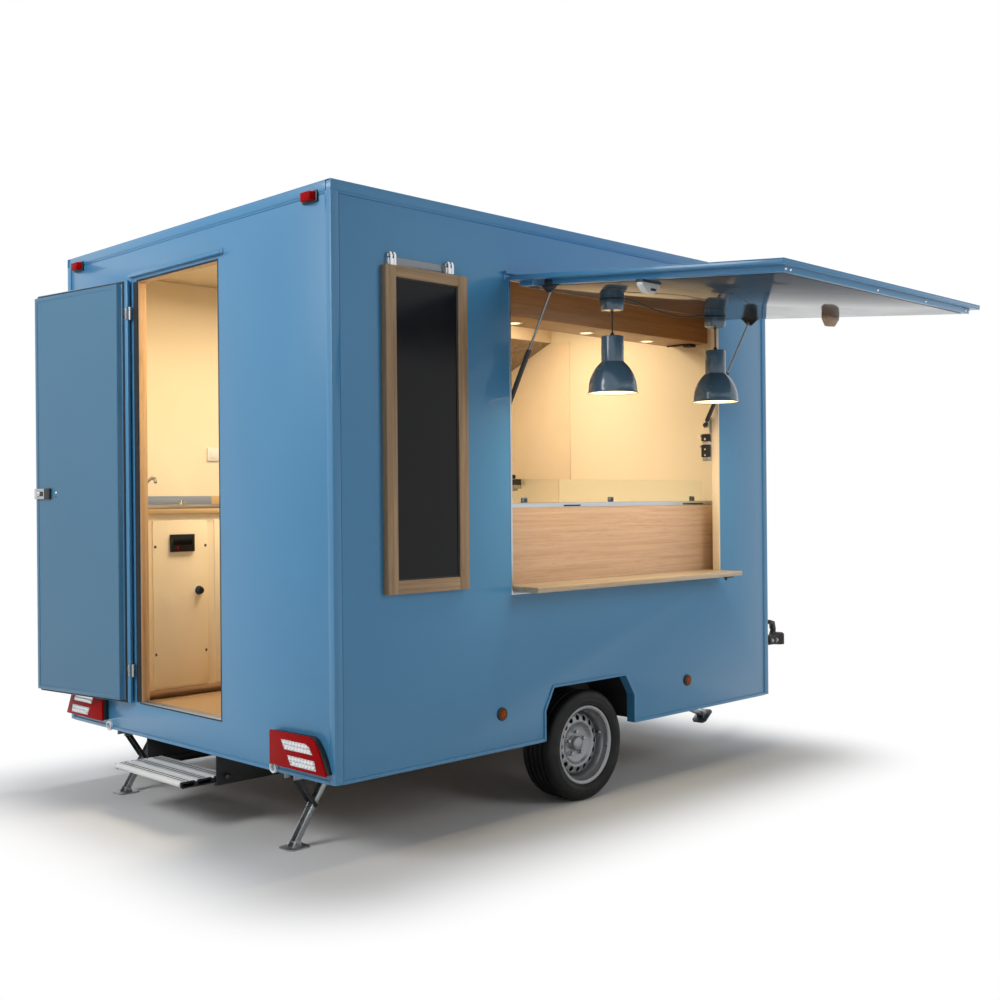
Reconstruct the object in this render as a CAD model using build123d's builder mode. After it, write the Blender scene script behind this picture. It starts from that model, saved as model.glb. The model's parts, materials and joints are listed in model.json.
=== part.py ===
from build123d import *
import math
import os

# Box catering trailer with one axle, parked with its hatch and rear door open.
# Millimetres. +X runs forward to the coupling, +Y to the left, +Z up, the floor is z = 0.
# Inside this script x is counted from the rear wall's outer face and y from the right
# wall's outer face; body_plane carries that corner to the part's own origin.

# Cabin shell
body_length = 3022
body_width = 2200
skirt_z = 330
roof_z = 2676
wall = 40
roof_thick = 50
floor_low = 440
floor_top = 480
eaves_z = roof_z - roof_thick
centre_y = body_width / 2
inside_left = body_width - wall
inside_front = body_length - wall

# Rear doorway and its door, which stands open beside the left rear corner
doorway_y = (804, 1496)
doorway_z = (488, 2476)
door_pin = (-15, 1540)
door_open_deg = 172
door_lip_y = (795, 1531)
door_lip_z = (481, 2487)
door_lip_x = (-23, -6)
door_plug_gap = 8
door_inner_x = 20

# Serving hatch and its flap, which is held up just below level
hatch_x = (985, 2565)
hatch_z = (1016, 2410)
flap_hinge_y = -15
flap_hinge_z = 2405
flap_slope_deg = 5.06
flap_x = (955, 2600)
flap_length = 1400
flap_skin_top = 10
flap_skin_low = -8
flap_frame_low = -30
flap_frame_x = (1000, 2550)
flap_frame_reach = (30, 1375)
flap_root_gap = 8

# Wheels and axle, 195/50 R13 size
wheel_x = 1512
wheel_radius = 262
tyre_width = 195
tyre_out = 25
wheel_inset = tyre_out + tyre_width / 2
arch_low_x = (1191, 1834)
arch_top_x = (1248, 1768)
arch_knee_z = 468
arch_top_z = 571
wheel_box_skin = 12
wheel_box_depth = 260

# Chassis and drawbar
rail_low = 350
rail_width = 60
rail_y = 330
chassis_rear_x = 45
chassis_front_x = 2960
hitch_z = 400
socket_x = 4868
cup_radius = 48
beam_front_x = 4560
beam_root_out = (640, 705)
beam_tip_out = (50, 115)

# Steadies: strut and leg of a straight-line linkage, the leg twice the strut
steady_y = 394
steady_pivot_z = 305
steady_strut_length = 170
steady_pivot_inset = 85
steady_down_deg = 57
steady_front_deg = 20.7

# Overall reach, which centres the part on its own origin
door_turn = math.radians(door_open_deg)
door_plug_reach = door_pin[1] - doorway_y[0] - door_plug_gap
door_back_x = (
    door_pin[0]
    + (door_inner_x - door_pin[0]) * math.cos(door_turn)
    - door_plug_reach * math.sin(door_turn)
)
door_tip_y = (
    door_pin[1]
    - (door_lip_x[0] - door_pin[0]) * math.sin(door_turn)
    - (door_pin[1] - door_lip_y[0]) * math.cos(door_turn)
)
flap_slope = math.radians(flap_slope_deg)
flap_tip_y = (
    flap_hinge_y - flap_length * math.cos(flap_slope) - flap_skin_top * math.sin(flap_slope)
)
nose_x = socket_x + cup_radius
rear_x = -(nose_x + door_back_x) / 2
right_y = -(flap_tip_y + door_tip_y) / 2
body_plane = Plane(origin=(rear_x, right_y, 0))


def at(x, y, z):
    """A point of the body, in the part's own frame."""
    return (rear_x + x, right_y + y, z)


def level_plane(z):
    """A level sketch plane: sketch x is forward, sketch y is left."""
    return Plane(origin=at(0, 0, z))


def side_plane(y):
    """An upright lengthwise plane: sketch x is forward, sketch y is up, it grows to the right."""
    return Plane(origin=at(0, y, 0), x_dir=(1, 0, 0), z_dir=(0, -1, 0))


def cross_plane(x):
    """An upright crosswise plane: sketch x is left, sketch y is up, it grows forward."""
    return Plane(origin=at(x, 0, 0), x_dir=(0, 1, 0), z_dir=(1, 0, 0))


def block(low, high, mode=Mode.ADD):
    """A box between two corners, counted in the plane of the part that is being built."""
    size = [b - a for a, b in zip(low, high)]
    middle = tuple((a + b) / 2 for a, b in zip(low, high))
    with Locations(middle):
        Box(*size, mode=mode)


def outline(points):
    """A filled polygon in the sketch that is being drawn."""
    Polygon(*points, align=None)


def save(builder, node):
    """Label a finished piece and write it."""
    builder.part.label = node
    export_step(builder.part, f"parts/{node}.step")


os.makedirs("parts", exist_ok=True)

# Cabin panels, each as thick as the whole wall
with BuildPart(body_plane) as rear_wall:
    block((0, 0, skirt_z), (wall, body_width, eaves_z))
    block(
        (-wall, doorway_y[0], doorway_z[0]),
        (2 * wall, doorway_y[1], doorway_z[1]),
        mode=Mode.SUBTRACT,
    )
save(rear_wall, "rear_wall")

front_notch_y = (380, 1820)
front_notch_z = 450
with BuildPart(body_plane) as front_wall:
    block((inside_front, 0, skirt_z), (body_length, body_width, eaves_z))
    block(
        (inside_front - wall, front_notch_y[0], skirt_z - wall),
        (body_length + wall, front_notch_y[1], front_notch_z),
        mode=Mode.SUBTRACT,
    )
save(front_wall, "front_wall")

arch_foot_z = skirt_z - wall
arch_outline = [
    (arch_low_x[0], arch_foot_z),
    (arch_low_x[1], arch_foot_z),
    (arch_low_x[1], arch_knee_z),
    (arch_top_x[1], arch_top_z),
    (arch_top_x[0], arch_top_z),
    (arch_low_x[0], arch_knee_z),
]

with BuildPart(body_plane) as right_wall:
    block((wall, 0, skirt_z), (inside_front, wall, eaves_z))
    block(
        (hatch_x[0], -wall, hatch_z[0]), (hatch_x[1], 2 * wall, hatch_z[1]), mode=Mode.SUBTRACT
    )
    with BuildSketch(side_plane(wall)):
        outline(arch_outline)
    extrude(amount=wall, mode=Mode.SUBTRACT)
save(right_wall, "right_wall")

with BuildPart(body_plane) as left_wall:
    block((wall, inside_left, skirt_z), (inside_front, body_width, eaves_z))
    with BuildSketch(side_plane(body_width)):
        outline(arch_outline)
    extrude(amount=wall, mode=Mode.SUBTRACT)
save(left_wall, "left_wall")

with BuildPart(body_plane) as roof_panel:
    block((0, 0, eaves_z), (body_length, body_width, roof_z))
save(roof_panel, "roof_panel")

floor_cut_x = (arch_low_x[0] - 2 * wheel_box_skin, arch_low_x[1] + 2 * wheel_box_skin)
floor_cut_depth = wheel_box_depth + wheel_box_skin
with BuildPart(body_plane) as floor_panel:
    block((wall, wall, floor_low), (inside_front, inside_left, floor_top))
    for y0, y1 in ((0, wall + floor_cut_depth), (inside_left - floor_cut_depth, body_width)):
        block(
            (floor_cut_x[0], y0, floor_low - wall),
            (floor_cut_x[1], y1, floor_top + wall),
            mode=Mode.SUBTRACT,
        )
save(floor_panel, "floor_panel")

# Wheel boxes: a skin over each arch, closed on the cabin side, open below
box_foot_z = rail_low
with BuildPart() as wheel_boxes:
    for y_open in (wall, inside_left - wheel_box_depth):
        with BuildSketch(side_plane(y_open + wheel_box_depth)):
            outline(arch_outline)
            offset(amount=wheel_box_skin, kind=Kind.INTERSECTION)
        extrude(amount=wheel_box_depth)
    for y_open in (wall, inside_left - wheel_box_depth + wheel_box_skin):
        with BuildSketch(side_plane(y_open + wheel_box_depth - wheel_box_skin)):
            outline(arch_outline)
        extrude(amount=wheel_box_depth - wheel_box_skin, mode=Mode.SUBTRACT)
    split(bisect_by=Plane.XY.offset(box_foot_z), keep=Keep.TOP)
save(wheel_boxes, "wheel_boxes")

# Chassis: two long rails, cross members between them and outriggers to the walls
rail_edges = ((rail_y, rail_y + rail_width), (body_width - rail_y - rail_width, body_width - rail_y))
cross_member_x = ((45, 105), (860, 910), (2250, 2300), (2900, 2960))
outrigger_gap = 2
with BuildPart(body_plane) as chassis_frame:
    for y0, y1 in rail_edges:
        block((chassis_rear_x, y0, rail_low), (chassis_front_x, y1, floor_low))
    for x0, x1 in cross_member_x:
        block(
            (x0, wall + outrigger_gap, rail_low), (x1, inside_left - outrigger_gap, floor_low)
        )
save(chassis_frame, "chassis_frame")


def beam_out(x, root_tip):
    """Distance of a drawbar beam's edge from the centre line at x."""
    root, tip = root_tip
    along = (x - chassis_front_x) / (beam_front_x - chassis_front_x)
    return root + (tip - root) * along


# Drawbar: two beams that run together from the front cross member
beam_roots = [(beam_root_out[0], beam_tip_out[0]), (beam_root_out[1], beam_tip_out[1])]
with BuildPart() as drawbar:
    for side in (-1, 1):
        inner, outer = beam_roots
        with BuildSketch(level_plane(rail_low)):
            outline(
                [
                    (chassis_front_x, centre_y + side * beam_out(chassis_front_x, inner)),
                    (chassis_front_x, centre_y + side * beam_out(chassis_front_x, outer)),
                    (beam_front_x, centre_y + side * beam_out(beam_front_x, outer)),
                    (beam_front_x, centre_y + side * beam_out(beam_front_x, inner)),
                ]
            )
        extrude(amount=floor_low - rail_low)
save(drawbar, "drawbar")

# Overrun device: head plate between the beams, guide tube, bellows and push rod
head_rear_x = 4330
head_low = 355
head_top = 445
guide_x = (4560, 4600)
guide_radius = 40
bellows_x = (4600, 4690)
bellows_folds = 5
bellows_radii = (30, 39)
push_rod_radius = 22
coupling_rear_x = 4720
lever_x = (4380, 4410)
lever_y = centre_y - 30
lever_top = 760
along_x = Plane(origin=at(0, centre_y, hitch_z), x_dir=(0, 1, 0), z_dir=(1, 0, 0))
with BuildPart() as overrun_device:
    with BuildSketch(level_plane(head_low)):
        inner = beam_roots[0]
        outline(
            [
                (head_rear_x, centre_y - beam_out(head_rear_x, inner)),
                (beam_front_x, centre_y - beam_out(beam_front_x, inner)),
                (beam_front_x, centre_y + beam_out(beam_front_x, inner)),
                (head_rear_x, centre_y + beam_out(head_rear_x, inner)),
            ]
        )
    extrude(amount=head_top - head_low)
    with BuildSketch(along_x.offset(guide_x[0])):
        Circle(guide_radius)
    extrude(amount=guide_x[1] - guide_x[0])
    with BuildSketch(along_x.offset(guide_x[1])):
        Circle(push_rod_radius)
    extrude(amount=coupling_rear_x - guide_x[1])
    fold = (bellows_x[1] - bellows_x[0]) / bellows_folds
    for number in range(bellows_folds):
        fold_x = bellows_x[0] + number * fold
        with BuildSketch(along_x.offset(fold_x)):
            Circle(bellows_radii[0])
        with BuildSketch(along_x.offset(fold_x + fold / 2)):
            Circle(bellows_radii[1])
        loft()
        with BuildSketch(along_x.offset(fold_x + fold / 2)):
            Circle(bellows_radii[1])
        with BuildSketch(along_x.offset(fold_x + fold)):
            Circle(bellows_radii[0])
        loft()
    # Handbrake lever, upright and bent back
    with BuildSketch(side_plane(lever_y + 6)):
        outline(
            [
                (lever_x[0], head_top),
                (lever_x[1], head_top),
                (lever_x[1] - 30, 600),
                (lever_x[1] - 110, lever_top),
                (lever_x[0] - 110, lever_top - 12),
                (lever_x[0] - 32, 592),
            ]
        )
    extrude(amount=12)
save(overrun_device, "overrun_device")

# Coupling head: tapered sleeve, ball cup open below, and the release handle above
cup_low = 362
cup_top = 446
socket_radius = 25.5
socket_depth = 50
with BuildPart() as coupling_head:
    with BuildSketch(along_x.offset(coupling_rear_x)):
        RectangleRounded(66, 66, 16)
    with BuildSketch(along_x.offset(socket_x - 10)):
        RectangleRounded(78, 70, 16)
    loft()
    with BuildSketch(level_plane(cup_low)):
        with Locations((socket_x, centre_y)):
            Circle(cup_radius)
    extrude(amount=cup_top - cup_low)
    fillet(
        coupling_head.edges().filter_by(GeomType.CIRCLE).group_by(Axis.Z)[-1], radius=18
    )
    with BuildSketch(level_plane(cup_low)):
        with Locations((socket_x, centre_y)):
            Circle(socket_radius)
    extrude(amount=socket_depth, mode=Mode.SUBTRACT)
    with BuildSketch(side_plane(centre_y + 15)):
        outline(
            [
                (socket_x - 95, 425),
                (socket_x - 45, 425),
                (socket_x - 45, 470),
                (socket_x - 60, 530),
                (socket_x - 118, 544),
                (socket_x - 124, 522),
                (socket_x - 82, 510),
                (socket_x - 72, 470),
            ]
        )
    extrude(amount=30)
save(coupling_head, "coupling_head")

# Jockey wheel: clamp and mast on the left beam, swivelling fork, roller
jockey_x = 4400
jockey_y = centre_y + 222
mast_radius = 30
mast_z = (345, 690)
clamp_half = 28
clamp_z = (362, 428)
crank_top = 770
roller_radius = 100
roller_half = 30
jockey_trail = 45
fork_gap = 6
fork_plate = 5
with BuildPart() as jockey_stand:
    with BuildSketch(level_plane(clamp_z[0])):
        outer = beam_roots[1]
        rear_edge = jockey_x - clamp_half
        front_edge = jockey_x + clamp_half
        outline(
            [
                (rear_edge, centre_y + beam_out(rear_edge, outer)),
                (front_edge, centre_y + beam_out(front_edge, outer)),
                (front_edge, jockey_y),
                (rear_edge, jockey_y),
            ]
        )
    extrude(amount=clamp_z[1] - clamp_z[0])
    with BuildSketch(level_plane(mast_z[0])):
        with Locations((jockey_x, jockey_y)):
            Circle(mast_radius)
    extrude(amount=mast_z[1] - mast_z[0])
    with BuildSketch(level_plane(mast_z[1])):
        with Locations((jockey_x, jockey_y)):
            Circle(12)
    extrude(amount=crank_top - mast_z[1])
    with BuildSketch(level_plane(crank_top - 14)):
        with Locations((jockey_x, jockey_y + 60)):
            SlotOverall(150, 24, rotation=90)
    extrude(amount=14)
    with BuildSketch(level_plane(crank_top)):
        with Locations((jockey_x, jockey_y + 120)):
            Circle(14)
    extrude(amount=70)
save(jockey_stand, "jockey_stand")

fork_top = 222
roller_x = jockey_x - jockey_trail
with BuildPart() as jockey_fork:
    with BuildSketch(level_plane(fork_top)):
        with Locations((jockey_x, jockey_y)):
            Circle(22)
    extrude(amount=mast_z[0] - 3 - fork_top)
    fork_half = roller_half + fork_gap + fork_plate
    with BuildSketch(level_plane(fork_top - 8)):
        with Locations((jockey_x - jockey_trail / 2, jockey_y)):
            RectangleRounded(jockey_trail + 50, 2 * fork_half, 8)
    extrude(amount=8)
    for side in (-1, 1):
        inner_face = jockey_y + side * (roller_half + fork_gap)
        with BuildSketch(side_plane(max(inner_face, inner_face + side * fork_plate))):
            outline(
                [
                    (roller_x - 18, roller_radius - 16),
                    (roller_x + 18, roller_radius - 16),
                    (jockey_x + 18, fork_top - 8),
                    (roller_x - 22, fork_top - 8),
                ]
            )
        extrude(amount=fork_plate)
save(jockey_fork, "jockey_fork")

roller_plane = Plane(origin=at(roller_x, jockey_y, roller_radius), x_dir=(1, 0, 0), z_dir=(0, 0, 1))
with BuildPart() as jockey_roller:
    with BuildSketch(roller_plane):
        outline(
            [
                (0, -roller_half - 4),
                (20, -roller_half - 4),
                (20, -roller_half + 8),
                (roller_radius - 34, -roller_half + 8),
                (roller_radius - 30, -roller_half),
                (roller_radius - 10, -roller_half),
                (roller_radius, -roller_half + 12),
                (roller_radius, roller_half - 12),
                (roller_radius - 10, roller_half),
                (roller_radius - 30, roller_half),
                (roller_radius - 34, roller_half - 8),
                (20, roller_half - 8),
                (20, roller_half + 4),
                (0, roller_half + 4),
            ]
        )
    revolve(axis=Axis(roller_plane.origin, (0, 1, 0)))
save(jockey_roller, "jockey_roller")

# Axle: square tube under the rails, with a trailing arm and backing plate at each wheel
axle_x = wheel_x + 163
axle_half = 35
axle_z = (268, 338)
arm_y = (228, 262)
arm_half = 30
backing_y = 222
backing_radius = 108
hanger_x = (axle_x - 60, axle_x + 60)
with BuildPart(body_plane) as axle_beam:
    block(
        (axle_x - axle_half, arm_y[1], axle_z[0]),
        (axle_x + axle_half, body_width - arm_y[1], axle_z[1]),
    )
    for y0, y1 in rail_edges:
        block((hanger_x[0], y0, axle_z[1] - 6), (hanger_x[1], y1, rail_low))
save(axle_beam, "axle_beam")

with BuildPart() as swing_arms:
    for y_plane, y_backing in (
        (arm_y[1], arm_y[0]),
        (body_width - arm_y[0], body_width - backing_y),
    ):
        with BuildSketch(side_plane(y_plane)):
            outline(
                [
                    (wheel_x - 34, wheel_radius - 30),
                    (wheel_x + 20, wheel_radius - 36),
                    (axle_x + axle_half, axle_z[0]),
                    (axle_x + axle_half, axle_z[1]),
                    (axle_x - axle_half, axle_z[1]),
                    (wheel_x - 34, wheel_radius + 30),
                ]
            )
        extrude(amount=arm_y[1] - arm_y[0])
        with BuildSketch(side_plane(y_backing)):
            with Locations((wheel_x, wheel_radius)):
                Circle(backing_radius)
        extrude(amount=arm_y[0] - backing_y)
save(swing_arms, "swing_arms")

# Road wheels: tyre, pressed rim with a ring of round holes, brake drum with hub
# Tyre half section: radius, distance from the wheel's middle plane
tyre_section = ((166, 78), (184, 79), (190, 90), (216, 97.5), (242, 95), (255, 86), (262, 68))
# Rim: outer line of barrel and flanges, then the dished disc, radius and outward distance
rim_lip = 184
rim_seat = 165
rim_inner = 160
rim_half = 86
rim_flange = 6
disc_outer_face = ((160, 4), (142, 26), (106, 38), (84, 22), (62, 14), (37, 14))
disc_thick = 6
rim_hole_count = 16
rim_hole_ring = 124
rim_hole_radius = 10
drum_radius = 104
# Drum, flange and hub cap: radius, inward face, outward face
drum_steps = ((104, -95, -12), (72, -12, 8), (32, 8, 34))
for name, side, side_y in (("right", -1, wheel_inset), ("left", 1, body_width - wheel_inset)):
    hub = at(wheel_x, side_y, wheel_radius)
    wheel_plane = Plane(origin=hub, x_dir=(1, 0, 0), z_dir=(0, 0, side))
    spin_axis = Axis(hub, (0, 1, 0))

    with BuildPart() as tyre:
        with BuildSketch(wheel_plane):
            near_half = [(radius, out) for radius, out in tyre_section]
            far_half = [(radius, -out) for radius, out in reversed(tyre_section)]
            outline(near_half + far_half)
        revolve(axis=spin_axis)
    save(tyre, f"tyre_{name}")

    with BuildPart() as rim:
        with BuildSketch(wheel_plane):
            outline(
                [
                    (rim_inner, -rim_half),
                    (rim_lip, -rim_half),
                    (rim_lip, -rim_half + rim_flange),
                    (rim_seat, -rim_half + rim_flange),
                    (rim_seat, rim_half - rim_flange),
                    (rim_lip, rim_half - rim_flange),
                    (rim_lip, rim_half),
                    (rim_inner, rim_half),
                ]
            )
            outer_face = [(radius, out) for radius, out in disc_outer_face]
            inner_face = [(radius, out - disc_thick) for radius, out in reversed(disc_outer_face)]
            outline(outer_face + inner_face)
        revolve(axis=spin_axis)
        hole_plane = Plane(origin=hub, x_dir=(1, 0, 0), z_dir=(0, side, 0))
        with BuildSketch(hole_plane):
            with PolarLocations(rim_hole_ring, rim_hole_count):
                Circle(rim_hole_radius)
        extrude(amount=rim_half, mode=Mode.SUBTRACT)
    save(rim, f"rim_{name}")

    with BuildPart() as drum:
        for radius, inward, outward in drum_steps:
            with BuildSketch(hole_plane.offset(inward)):
                Circle(radius)
            extrude(amount=outward - inward)
    save(drum, f"drum_{name}")

# Cabin fittings
counter_x = (430, inside_front)
counter_y = (100, 640)
panel = 18
serving_top = 1392
serving_worktop = 1415
serving_panel_low = 1020
shelf_x = (992, 2558)
shelf_hinge = (95, 1046)
shelf_hinge_radius = 1.5
shelf_hinge_leaf = 6
with BuildPart(body_plane) as serving_counter:
    block((counter_x[0], counter_y[0], serving_panel_low), (counter_x[1], counter_y[0] + panel, serving_top))
    for x0 in (counter_x[0], 1900, counter_x[1] - panel):
        block((x0, counter_y[0] + panel, floor_top), (x0 + panel, counter_y[1], serving_top))
    block(
        (counter_x[0], counter_y[0] + panel, serving_panel_low),
        (counter_x[1], counter_y[1], serving_panel_low + panel),
    )
    block(
        (shelf_x[0], shelf_hinge[0] + 1, shelf_hinge[1] - shelf_hinge_leaf),
        (shelf_x[1], counter_y[0], shelf_hinge[1] + shelf_hinge_leaf),
    )
    with BuildSketch(cross_plane(shelf_x[0])):
        with Locations(shelf_hinge):
            Circle(shelf_hinge_radius)
    extrude(amount=shelf_x[1] - shelf_x[0])
save(serving_counter, "serving_counter")

back_counter_x = (wall, inside_front)
back_counter_y = 1560
back_top = 1400
back_worktop = 1420
plinth_top = 520
plinth_inset = 40
with BuildPart(body_plane) as back_counter:
    block((back_counter_x[0], back_counter_y, plinth_top), (back_counter_x[1], back_counter_y + panel, back_top))
    block(
        (back_counter_x[0], back_counter_y + plinth_inset, floor_top),
        (back_counter_x[1], back_counter_y + plinth_inset + panel, plinth_top + panel),
    )
    block(
        (back_counter_x[0], back_counter_y + panel, plinth_top),
        (back_counter_x[1], back_counter_y + plinth_inset + panel, plinth_top + panel),
    )
    for x0 in (back_counter_x[0], back_counter_x[1] - panel):
        block((x0, back_counter_y + panel, plinth_top), (x0 + panel, inside_left, back_top))
save(back_counter, "back_counter")

worktop_lip = 12
with BuildPart(body_plane) as worktops:
    block((counter_x[0], counter_y[0], serving_top), (counter_x[1], counter_y[1] + worktop_lip, serving_worktop))
    block((back_counter_x[0], back_counter_y - worktop_lip, back_top), (back_counter_x[1], inside_left, back_worktop))
save(worktops, "worktops")

guard_y = (108, 114)
guard_top = 1525
with BuildPart(body_plane) as glass_guard:
    block((hatch_x[0], guard_y[0], serving_worktop), (hatch_x[1], guard_y[1], guard_top))
save(glass_guard, "glass_guard")

pelmet_y = (360, 600)
pelmet_low = 2322
with BuildPart(body_plane) as pelmet:
    block((wall, pelmet_y[0], pelmet_low), (inside_front, pelmet_y[1], pelmet_low + panel))
    for y0 in (pelmet_y[0], pelmet_y[1] - panel):
        block((wall, y0, pelmet_low), (inside_front, y0 + panel, eaves_z))
save(pelmet, "pelmet")

# Extractor hood over the back counter: an upright front board, a sloping soffit and two end boards
hood_x = (1900, inside_front)
hood_front_y = 1588
hood_front_low = 2443
hood_back_low = 2190
hood_skin = 16
with BuildPart() as extractor_hood:
    with BuildSketch(cross_plane(hood_x[0])):
        outline(
            [
                (hood_front_y, hood_front_low),
                (inside_left, hood_back_low),
                (inside_left, eaves_z),
                (hood_front_y, eaves_z),
            ]
        )
    extrude(amount=hood_x[1] - hood_x[0])
    with BuildSketch(cross_plane(hood_x[0] + hood_skin)):
        outline(
            [
                (hood_front_y + hood_skin, hood_front_low + hood_skin),
                (inside_left, hood_back_low + 1.5 * hood_skin),
                (inside_left, eaves_z),
                (hood_front_y + hood_skin, eaves_z),
            ]
        )
    extrude(amount=hood_x[1] - hood_x[0] - 2 * hood_skin, mode=Mode.SUBTRACT)
save(extractor_hood, "extractor_hood")

# Rear door, drawn as it closes and turned open about its pin
door_plane = Plane(origin=at(*door_pin, 0)).rotated((0, 0, -door_open_deg))
with BuildPart(door_plane) as rear_door:
    block(
        (door_lip_x[0] - door_pin[0], door_lip_y[0] - door_pin[1], door_lip_z[0]),
        (door_lip_x[1] - door_pin[0], door_lip_y[1] - door_pin[1], door_lip_z[1]),
    )
    block(
        (
            door_lip_x[1] - door_pin[0],
            doorway_y[0] + door_plug_gap - door_pin[1],
            doorway_z[0] + door_plug_gap,
        ),
        (
            door_inner_x - door_pin[0],
            doorway_y[1] - door_plug_gap - door_pin[1],
            doorway_z[1] - door_plug_gap,
        ),
    )
save(rear_door, "rear_door")

door_hinge_z = (637, 2328)
hinge_height = 60
hinge_leaf = 48
hinge_knuckle = 7
with BuildPart() as door_hinges:
    for z_mid in door_hinge_z:
        with BuildSketch(level_plane(z_mid - hinge_height / 2)):
            with Locations(door_pin):
                Circle(hinge_knuckle)
            outline(
                [
                    (-4, door_pin[1] + 1),
                    (0, door_pin[1] + 1),
                    (0, door_pin[1] + hinge_leaf),
                    (-4, door_pin[1] + hinge_leaf),
                ]
            )
            outline(
                [
                    (door_pin[0], door_pin[1]),
                    (door_pin[0] + 4, door_pin[1] - 4),
                    (0, door_pin[1] + 1),
                    (0, door_pin[1] + 8),
                    (-4, door_pin[1] + 8),
                ]
            )
        extrude(amount=hinge_height)
save(door_hinges, "door_hinges")

# Hatch rail above the flap with its hinge line, and the wall eyes of the gas struts
rail_x = (942, 2620)
rail_z = (2400, 2436)
hood_z = 2424
hood_out = 20
pin_radius = 5
strut_x = (1015, 2530)
strut_wall = (60, 1820)
strut_flap = (-220, 2335)
eye_half = 7
eye_radius = 9
tab_gap = 0.5
tab_thick = 6
tab_half = 14
with BuildPart(body_plane) as flap_rail:
    block((rail_x[0], -4, rail_z[0]), (rail_x[1], 0, rail_z[1]))
    block((rail_x[0], -hood_out, hood_z), (rail_x[1], 0, rail_z[1]))
    block((flap_x[0], flap_hinge_y, flap_hinge_z - pin_radius + 1), (flap_x[1], 0, flap_hinge_z + pin_radius))
    with BuildSketch(cross_plane(flap_x[0])):
        with Locations((flap_hinge_y, flap_hinge_z)):
            Circle(pin_radius)
    extrude(amount=flap_x[1] - flap_x[0])
save(flap_rail, "flap_rail")

with BuildPart(body_plane) as strut_brackets:
    for x_mid, side in ((strut_x[0], -1), (strut_x[1], 1)):
        near = x_mid + side * (eye_half + tab_gap)
        far = near + side * tab_thick
        edge = x_mid + side * 62
        block(
            (min(near, far), wall, strut_wall[1] - tab_half),
            (max(near, far), strut_wall[0] + tab_half, strut_wall[1] + tab_half),
        )
        block(
            (min(far, edge), wall, strut_wall[1] - 3 * tab_half),
            (max(far, edge), wall + 4, strut_wall[1] + 3 * tab_half),
        )
save(strut_brackets, "strut_brackets")

# Flap, sloping down from its hinge; its own plane has y back to the hinge and z out of its skin
flap_plane = Plane(
    origin=at(0, flap_hinge_y, flap_hinge_z),
    x_dir=(1, 0, 0),
    z_dir=(0, -math.sin(flap_slope), math.cos(flap_slope)),
)
flap_eye_y = strut_flap[0] - flap_hinge_y
flap_eye_z = strut_flap[1] - flap_hinge_z
flap_eye_in = flap_eye_y * math.cos(flap_slope) + flap_eye_z * math.sin(flap_slope)
flap_eye_down = -flap_eye_y * math.sin(flap_slope) + flap_eye_z * math.cos(flap_slope)
notch_half = eye_half + 6
notch_reach = (flap_eye_in - 18, flap_eye_in + 100)
with BuildPart(flap_plane) as flap:
    block((flap_x[0], -flap_length, flap_skin_low), (flap_x[1], -flap_root_gap, flap_skin_top))
    block(
        (flap_frame_x[0], -flap_frame_reach[1], flap_frame_low),
        (flap_frame_x[1], -flap_frame_reach[0], flap_skin_low),
    )
    for x0, x1 in ((flap_frame_x[0], strut_x[0] + notch_half), (strut_x[1] - notch_half, flap_frame_x[1])):
        block((x0, notch_reach[0], flap_frame_low), (x1, notch_reach[1], flap_skin_low), mode=Mode.SUBTRACT)
save(flap, "flap")

pull_block_x = (1060, 2490)
pull_block_in = -690
pull_block_depth = 32
pull_block_half = (58, 22)
pull_block_drop = (14, 50)
pull_plane = Plane(
    origin=flap_plane.from_local_coords((0, pull_block_in, 0)),
    x_dir=(1, 0, 0),
    z_dir=-flap_plane.y_dir,
)
with BuildPart(flap_plane) as flap_fittings:
    for x_mid, side in ((strut_x[0], -1), (strut_x[1], 1)):
        near = x_mid + side * (eye_half + tab_gap)
        far = near + side * tab_thick
        block(
            (min(near, far), flap_eye_in - tab_half, flap_eye_down - tab_half),
            (max(near, far), flap_eye_in + tab_half, flap_skin_low),
        )
    for x_mid in pull_block_x:
        with BuildSketch(pull_plane):
            outline(
                [
                    (x_mid - pull_block_half[0], flap_frame_low),
                    (x_mid - pull_block_half[0], flap_frame_low - pull_block_drop[0]),
                    (x_mid - pull_block_half[1], flap_frame_low - pull_block_drop[1]),
                    (x_mid + pull_block_half[1], flap_frame_low - pull_block_drop[1]),
                    (x_mid + pull_block_half[0], flap_frame_low - pull_block_drop[0]),
                    (x_mid + pull_block_half[0], flap_frame_low),
                ]
            )
        extrude(amount=pull_block_depth)
save(flap_fittings, "flap_fittings")

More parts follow.
